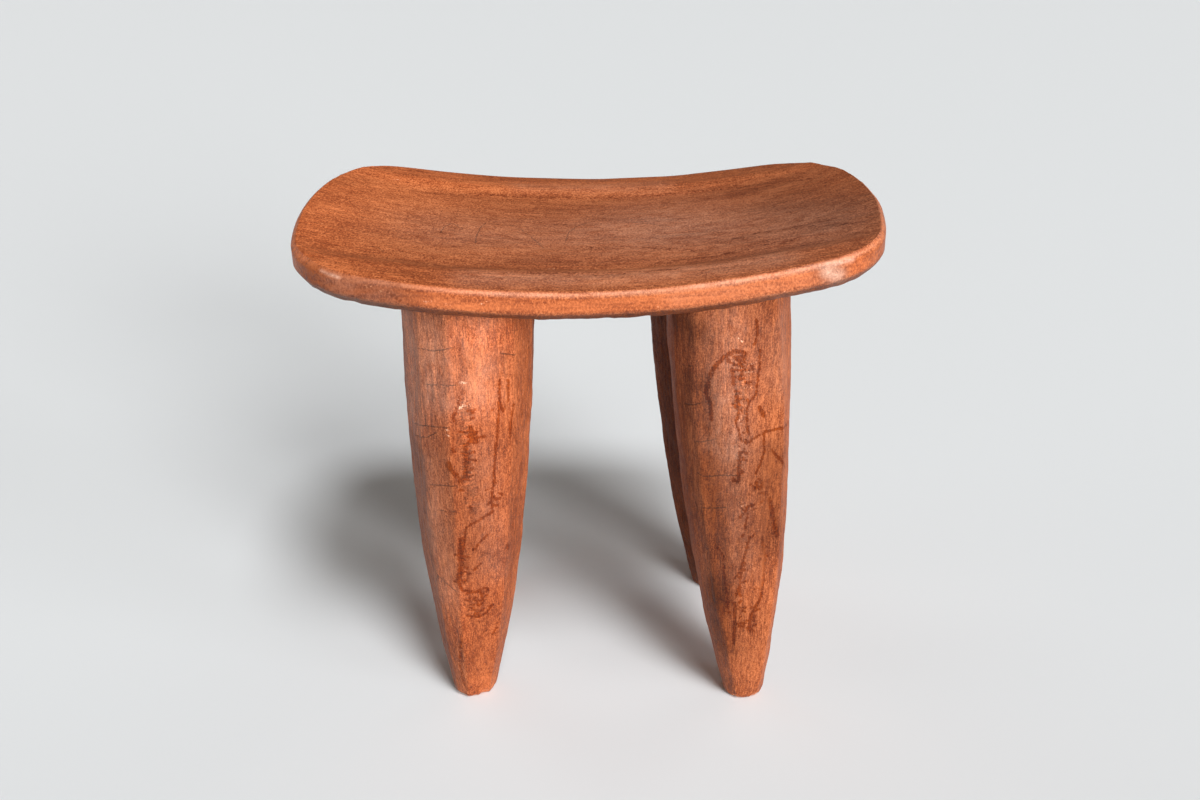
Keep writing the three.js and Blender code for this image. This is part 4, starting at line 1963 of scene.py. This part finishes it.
    def facet_share(self, direction: np.ndarray, share: np.ndarray) -> np.ndarray:
        """Gives the share of the radius that the facets leave.

        Args:
            direction: Directions in degrees.
            share: Shares of the leg's height.

        Returns:
            1 at the arrises and less between them.
        """
        first = self.plan.arrises[0].at(share)
        turned = (direction - first) % 360.0
        left = np.ones(len(direction))
        for index, arris in enumerate(self.plan.arrises):
            start = arris.at(share) - first
            is_last = index + 1 == len(self.plan.arrises)
            end = 360.0 if is_last else self.plan.arrises[index + 1].at(share) - first
            half = np.radians(end - start) / 2
            off = np.radians(turned - start) - half
            inside = (turned >= start) & (turned < end)
            chord = np.cos(half) / np.cos(np.clip(off, -half, half))
            left = np.where(inside, 1 - self.flatness * (1 - chord), left)
        return left

    def carve(self, leg: bpy.types.Object) -> None:
        """Cuts the facets, rounds and chips the foot's edge and scribes the head to the seat.

        Args:
            leg: The closed blank, which becomes the carved leg.
        """
        points = read_points(leg)
        height = points[:, 2]
        share = np.clip(height / self.head.z, 0, 1)
        direction = self.directions(points)
        wander = LEG_WANDER.at(points, self.plan.seed)
        soft = np.zeros(len(points))
        weight = 1 / len(self.arris_rounding)
        for turn in self.arris_rounding:
            soft += weight * self.facet_share(direction + wander + turn, share)
        base = self.radius(share)
        inset = self.foot_edge_loss(direction, height)
        inset += self.allowance - LEG_SWAY.at(points, self.plan.seed)
        inset -= LEG_DRAWKNIFE.at(points, self.plan.seed)
        inset -= LEG_RASP.at(points, self.plan.seed)
        scale = (base * soft - inset) / base

        centre = self.axis(share)
        x, y = (centre + (points[:, :2] - centre) * scale[:, None]).T
        shoulder = self.seat.underside_height(x, y) - FIT_GAP
        scribed = height + share**self.scribing * (shoulder - self.head.z)
        write_points(leg, np.column_stack([x, y, scribed]))

    def foot_edge_loss(self, direction: np.ndarray, height: np.ndarray) -> np.ndarray:
        """Gives how far the foot's rounded and chipped edge draws in.

        Args:
            direction: Directions in degrees.
            height: Heights in mm.

        Returns:
            The loss of radius in mm.
        """
        down = np.clip(1 - height / self.foot_edge_height, 0, 1)
        loss = self.foot_edge_inset * (1 - np.sqrt(1 - down**2))
        for chip in self.plan.chips:
            inside = 1 - chip.around(direction) ** 2 - (height / chip.height) ** 2
            loss += chip.depth * np.sqrt(np.clip(inside, 0, 1))
        return loss

    def chipped(self, direction: np.ndarray, height: np.ndarray) -> np.ndarray:
        """Gives how pale the worn wood is at the foot's chips.

        Args:
            direction: Directions in degrees.
            height: Heights in mm.

        Returns:
            Shares, 0 to 1.
        """
        overlap, fade = 1.15, (-0.1, 0.3)
        bare = np.zeros(len(direction))
        for chip in self.plan.chips:
            inside = 1 - chip.around(direction) ** 2 - (height / (chip.height * overlap)) ** 2
            bare = np.maximum(bare, smoothstep(inside, *fade))
        return bare

    def plug(self, clearance: float) -> bpy.types.Object:
        """Turns the tenon's round body, which spreads towards its end.

        Args:
            clearance: How much larger it is all round, in mm: none for the tenon itself, the
                fit gap for its socket.

        Returns:
            The solid, standing on the leg's axis.
        """
        radius = self.tenon_radius + clearance
        top = self.tenon_length + clearance
        deselect_all()
        bpy.ops.mesh.primitive_cylinder_add(
            vertices=self.tenon_sides, radius=radius * MM, depth=(top + self.tenon_root) * MM,
            location=(0, 0, (top - self.tenon_root) / 2 * MM),
        )
        plug = bpy.context.active_object
        bpy.ops.object.transform_apply()
        with editing(plug):
            bpy.ops.mesh.select_all(action="SELECT")
            bpy.ops.mesh.bisect(plane_co=(0, 0, 0), plane_no=(0, 0, 1))
            select_points(plug, levels(plug) > top - TOUCHING)
            spread = (radius + self.tenon_spread) / radius
            bpy.ops.transform.resize(value=(spread, 1, 1), center_override=(0, 0, top * MM))
        return self.stand_on_axis(plug)

    def kerf(self) -> bpy.types.Object:
        """Makes the solid of the slot that is sawn across the tenon's end for its wedge.

        Returns:
            The solid, standing on the leg's axis.
        """
        tip = self.tenon_length - self.wedge_length - FIT_GAP
        overrun = 2.0
        top = self.tenon_length + overrun
        slope = (self.wedge_head - self.wedge_tip) / self.wedge_length
        head = self.wedge_head + 2 * FIT_GAP + slope * overrun
        width = 2 * (self.tenon_radius + FIT_GAP)
        deselect_all()
        bpy.ops.mesh.primitive_cube_add(size=MM, location=(0, 0, (tip + top) / 2 * MM))
        kerf = bpy.context.active_object
        kerf.scale = (head, width, top - tip)
        bpy.ops.object.transform_apply()
        with editing(kerf):
            select_points(kerf, levels(kerf) < tip + TOUCHING)
            narrow = (self.wedge_tip + 2 * FIT_GAP) / head
            bpy.ops.transform.resize(value=(narrow, 1, 1), center_override=(0, 0, tip * MM))
        return self.stand_on_axis(kerf)

    def stand_on_axis(self, solid: bpy.types.Object) -> bpy.types.Object:
        """Leans an upright solid with the leg and sets it on the shoulder.

        Args:
            solid: The solid, upright on the origin.

        Returns:
            The same solid in its place.
        """
        lean = Vector((0, 0, 1)).rotation_difference(self.head - self.foot)
        solid.rotation_mode = "QUATERNION"
        solid.rotation_quaternion = lean
        solid.location = self.head * MM
        pick_up(solid)
        bpy.ops.object.transform_apply()
        return solid

    def mark(self, leg: bpy.types.Object) -> None:
        """Paints the marks, the tones, the worn places and the painted light, shade and sheen of the
        leg.

        Args:
            leg: The carved leg.
        """
        points = read_points(leg)
        height = points[:, 2]
        outward = 0.0 if self.plan.edge < 0 else 180.0
        layers = {name: np.zeros(len(points)) for name in ("stain", "scuff", "wear_and_highlight", "ripple")}
        offset = np.full(len(points), CHECK_REACH)
        strength = np.zeros(len(points))
        for marks, facing in ((self.plan.shown, outward), (self.plan.hidden, outward + 180)):
            canvas = self.canvas(points, facing)
            drawn = (marks.stains, marks.scuffs, marks.shines, marks.ripples)
            for name, chosen in zip(layers, drawn):
                layers[name] = np.maximum(layers[name], canvas.soft(chosen))
            new_offset, new_strength = canvas.thin(marks.checks)
            stronger = new_strength > strength
            offset = np.where(stronger, new_offset, offset)
            strength = np.where(stronger, new_strength, strength)

        direction = self.directions(points)
        canvas = self.canvas(points, 0.0)
        # A painted shadow darkens each leg just under the seat's underside.
        rubbed, shadow, shadow_height = 0.9, 0.8, 2.5
        shoulder = self.seat.underside_height(points[:, 0], points[:, 1])
        joint = shadow * np.exp(-(((shoulder - height) / shadow_height) ** 2))
        layers["wear_and_highlight"] = np.maximum(layers["wear_and_highlight"], rubbed * self.chipped(direction, height))
        layers["tone"] = self.facet_tone(direction, np.clip(height / self.head.z, 0, 1))
        # Painted light and shade from the leg's plan, less the painted shadow under the seat; then its
        # painted sheen.
        layers["painted_light"] = canvas.broad(self.plan.washes) - joint
        layers["painted_sheen"] = canvas.broad(self.plan.blooms)
        layers["check_offset"] = offset
        layers["check_strength"] = strength
        store(leg, layers)

    def facet_tone(self, direction: np.ndarray, share: np.ndarray) -> np.ndarray:
        """Gives each place the tone of its facet.

        Args:
            direction: Directions in degrees.
            share: Shares of the leg's height.

        Returns:
            The tones, softened across the arrises.
        """
        tone = np.zeros(len(direction))
        softness = 3.0
        for index, arris in enumerate(self.plan.arrises):
            following = self.plan.arrises[(index + 1) % len(self.plan.arrises)]
            start = arris.at(share)
            width = (following.at(share) - start) % 360.0
            from_middle = np.abs(wrapped(direction - start - width / 2))
            inside = 1 - smoothstep(from_middle - width / 2, -softness, softness)
            tone += inside * self.plan.tones[index]
        return tone

    def build(self, finish: bpy.types.Material) -> bpy.types.Object:
        """Makes the leg with its tenon and kerf.

        Args:
            finish: Its material.

        Returns:
            The finished leg.
        """
        leg = self.rough_out()
        self.carve(leg)
        work(leg, self.plug(0.0), Joinery.JOIN)
        work(leg, self.kerf(), Joinery.CUT)
        self.mark(leg)
        dress(leg, finish)
        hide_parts(self.plan.name)
        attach(leg, "root")
        return leg


# Studio


@dataclass(frozen=True)
class Lamp:
    """One soft lamp, far enough away to light the floor evenly.

    Attributes:
        name: Its name.
        azimuth: Its direction in degrees from the front towards the right.
        elevation: Its height above the level in degrees.
        breadth: How wide it looks from the object, in degrees.
        strength: The brightness that it gives a white surface turned to it.
        tint: Its colour.
        mirrored: False for a low lamp that the seat's top would mirror as one white sheet.
    """

    name: str
    azimuth: float
    elevation: float
    breadth: float
    strength: float
    tint: tuple[float, float, float] = (1.0, 1.0, 1.0)
    mirrored: bool = True


@dataclass
class Studio:
    """The floor, the lamps, the world and the camera.

    Attributes:
        lamps: The lamps.
        floor_size: The floor's side in metres.
        world_strength: The strength of the light from all round.
        eye: The camera's place in metres.
        yaw: The camera's turn in radians.
        pitch: Its tilt.
        roll: Its roll.
        lens: Its focal length for a sensor as wide as lens_sensor.
        lens_sensor: The sensor's width in mm.
    """

    lamps: Sequence[Lamp]
    floor_size: float = 30.0
    world_strength: float = 0.08
    eye: Vector = Vector((0.01003, -0.931256, 0.660395))
    yaw: float = 0.005
    pitch: float = -0.427
    roll: float = -0.021
    lens: float = 36.0
    lens_sensor: float = 36.0

    def lay_floor(self) -> bpy.types.Object:
        """Lays the plain pale floor.

        Returns:
            The floor.
        """
        deselect_all()
        bpy.ops.mesh.primitive_plane_add(size=self.floor_size, location=(0, 0, 0))
        floor = bpy.context.active_object
        floor.name = "studio_floor"
        graph = Graph("floor_paint")
        shader = graph.principled()
        shader.inputs["Base Color"].default_value = colour(222, 228, 234)
        shader.inputs["Roughness"].default_value = 0.8
        shader.inputs["Specular IOR Level"].default_value = 0.1
        floor.data.materials.append(graph.material)
        return floor

    def hang(self, lamp: Lamp) -> None:
        """Hangs one lamp, turned to the object.

        Args:
            lamp: The lamp.
        """
        turn, rise = math.radians(lamp.azimuth), math.radians(lamp.elevation)
        way = Vector((math.sin(turn) * math.cos(rise), -math.cos(turn) * math.cos(rise),
                      math.sin(rise)))
        light = bpy.data.lights.new(lamp.name, "SUN")
        light.angle = math.radians(lamp.breadth)
        light.energy = math.pi * lamp.strength
        light.color = lamp.tint
        holder = bpy.data.objects.new(lamp.name, light)
        holder.rotation_euler = (-way).to_track_quat("-Z", "Y").to_euler()
        holder.visible_glossy = lamp.mirrored
        bpy.context.scene.collection.objects.link(holder)

    def light_world(self) -> None:
        """Lights the scene faintly from all round and shows a pale background."""
        world = bpy.data.worlds.new("studio_world")
        bpy.context.scene.world = world
        world.use_nodes = True
        nodes, links = world.node_tree.nodes, world.node_tree.links
        nodes.clear()
        path = nodes.new("ShaderNodeLightPath")
        seen = nodes.new("ShaderNodeBackground")
        seen.inputs["Color"].default_value = colour(233, 239, 242)
        seen.inputs["Strength"].default_value = 1.0
        fill = nodes.new("ShaderNodeBackground")
        fill.inputs["Color"].default_value = colour(255, 236, 214)
        fill.inputs["Strength"].default_value = self.world_strength
        blend = nodes.new("ShaderNodeMixShader")
        output = nodes.new("ShaderNodeOutputWorld")
        links.new(path.outputs["Is Camera Ray"], blend.inputs["Fac"])
        links.new(fill.outputs[0], blend.inputs[1])
        links.new(seen.outputs[0], blend.inputs[2])
        links.new(blend.outputs[0], output.inputs["Surface"])

    def place_camera(self) -> None:
        """Sets the camera at the photograph's place."""
        ahead = Vector((-math.sin(self.yaw) * math.cos(self.pitch),
                        math.cos(self.yaw) * math.cos(self.pitch), math.sin(self.pitch)))
        level = Vector((math.cos(self.yaw), math.sin(self.yaw), 0.0))
        rise = level.cross(ahead)
        right = math.cos(self.roll) * level + math.sin(self.roll) * rise
        up = math.cos(self.roll) * rise - math.sin(self.roll) * level
        camera = bpy.data.cameras.new("camera")
        camera.lens = self.lens
        camera.sensor_width = self.lens_sensor
        camera.sensor_fit = "HORIZONTAL"
        holder = bpy.data.objects.new("camera", camera)
        turned = Matrix((right, up, -ahead)).transposed().to_4x4()
        holder.matrix_world = Matrix.Translation(self.eye) @ turned
        bpy.context.scene.collection.objects.link(holder)
        bpy.context.scene.camera = holder

    def build(self) -> None:
        """Sets up the whole studio."""
        self.lay_floor()
        for lamp in self.lamps:
            self.hang(lamp)
        self.light_world()
        self.place_camera()
        bpy.context.scene.view_settings.view_transform = "Standard"


LAMPS = (
    Lamp("key_low", 31, 13, 24, 0.85, (1.0, 0.97, 0.93), mirrored=False),
    Lamp("key_middle", 30, 38, 24, 0.30, (1.0, 0.97, 0.93)),
    Lamp("key_high", 26, 60, 14, 0.50, (1.0, 0.98, 0.95)),
    Lamp("right", 62, 12, 20, 0.28, (1.0, 0.98, 0.96), mirrored=False),
    Lamp("back_right", 128, 24, 40, 0.08, (1.0, 0.96, 0.90)),
    Lamp("back_left", -128, 24, 40, 0.10, (1.0, 0.96, 0.90)),
    Lamp("left", -80, 20, 26, 0.05, (1.0, 0.94, 0.86)),
)


def main() -> None:
    """Builds the studio and dresses every piece of the stool."""
    logging.basicConfig(level=logging.INFO, format="%(message)s")
    Studio(LAMPS).build()
    log.info("studio: floor, %d lamps and camera", len(LAMPS))

    seat_plan = SeatPlan()
    leg_finish = LEG_WOOD.material()
    legs = [Leg(plan, seat_plan) for plan in LEG_PLANS]
    for leg in legs:
        piece = leg.build(leg_finish)
        log.info("%s: %d faces", piece.name, len(piece.data.polygons))

    seat = Seat(seat_plan).build(legs, SEAT_WOOD.material())
    log.info("%s: %d faces", seat.name, len(seat.data.polygons))

    wedge_finish = WEDGE_WOOD.material()
    for name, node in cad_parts.items():
        if name.startswith("wedge_"):
            node.data.materials.clear()
            node.data.materials.append(wedge_finish)
            log.info("%s: split wood", name)


if __name__ == "__main__":
    main()
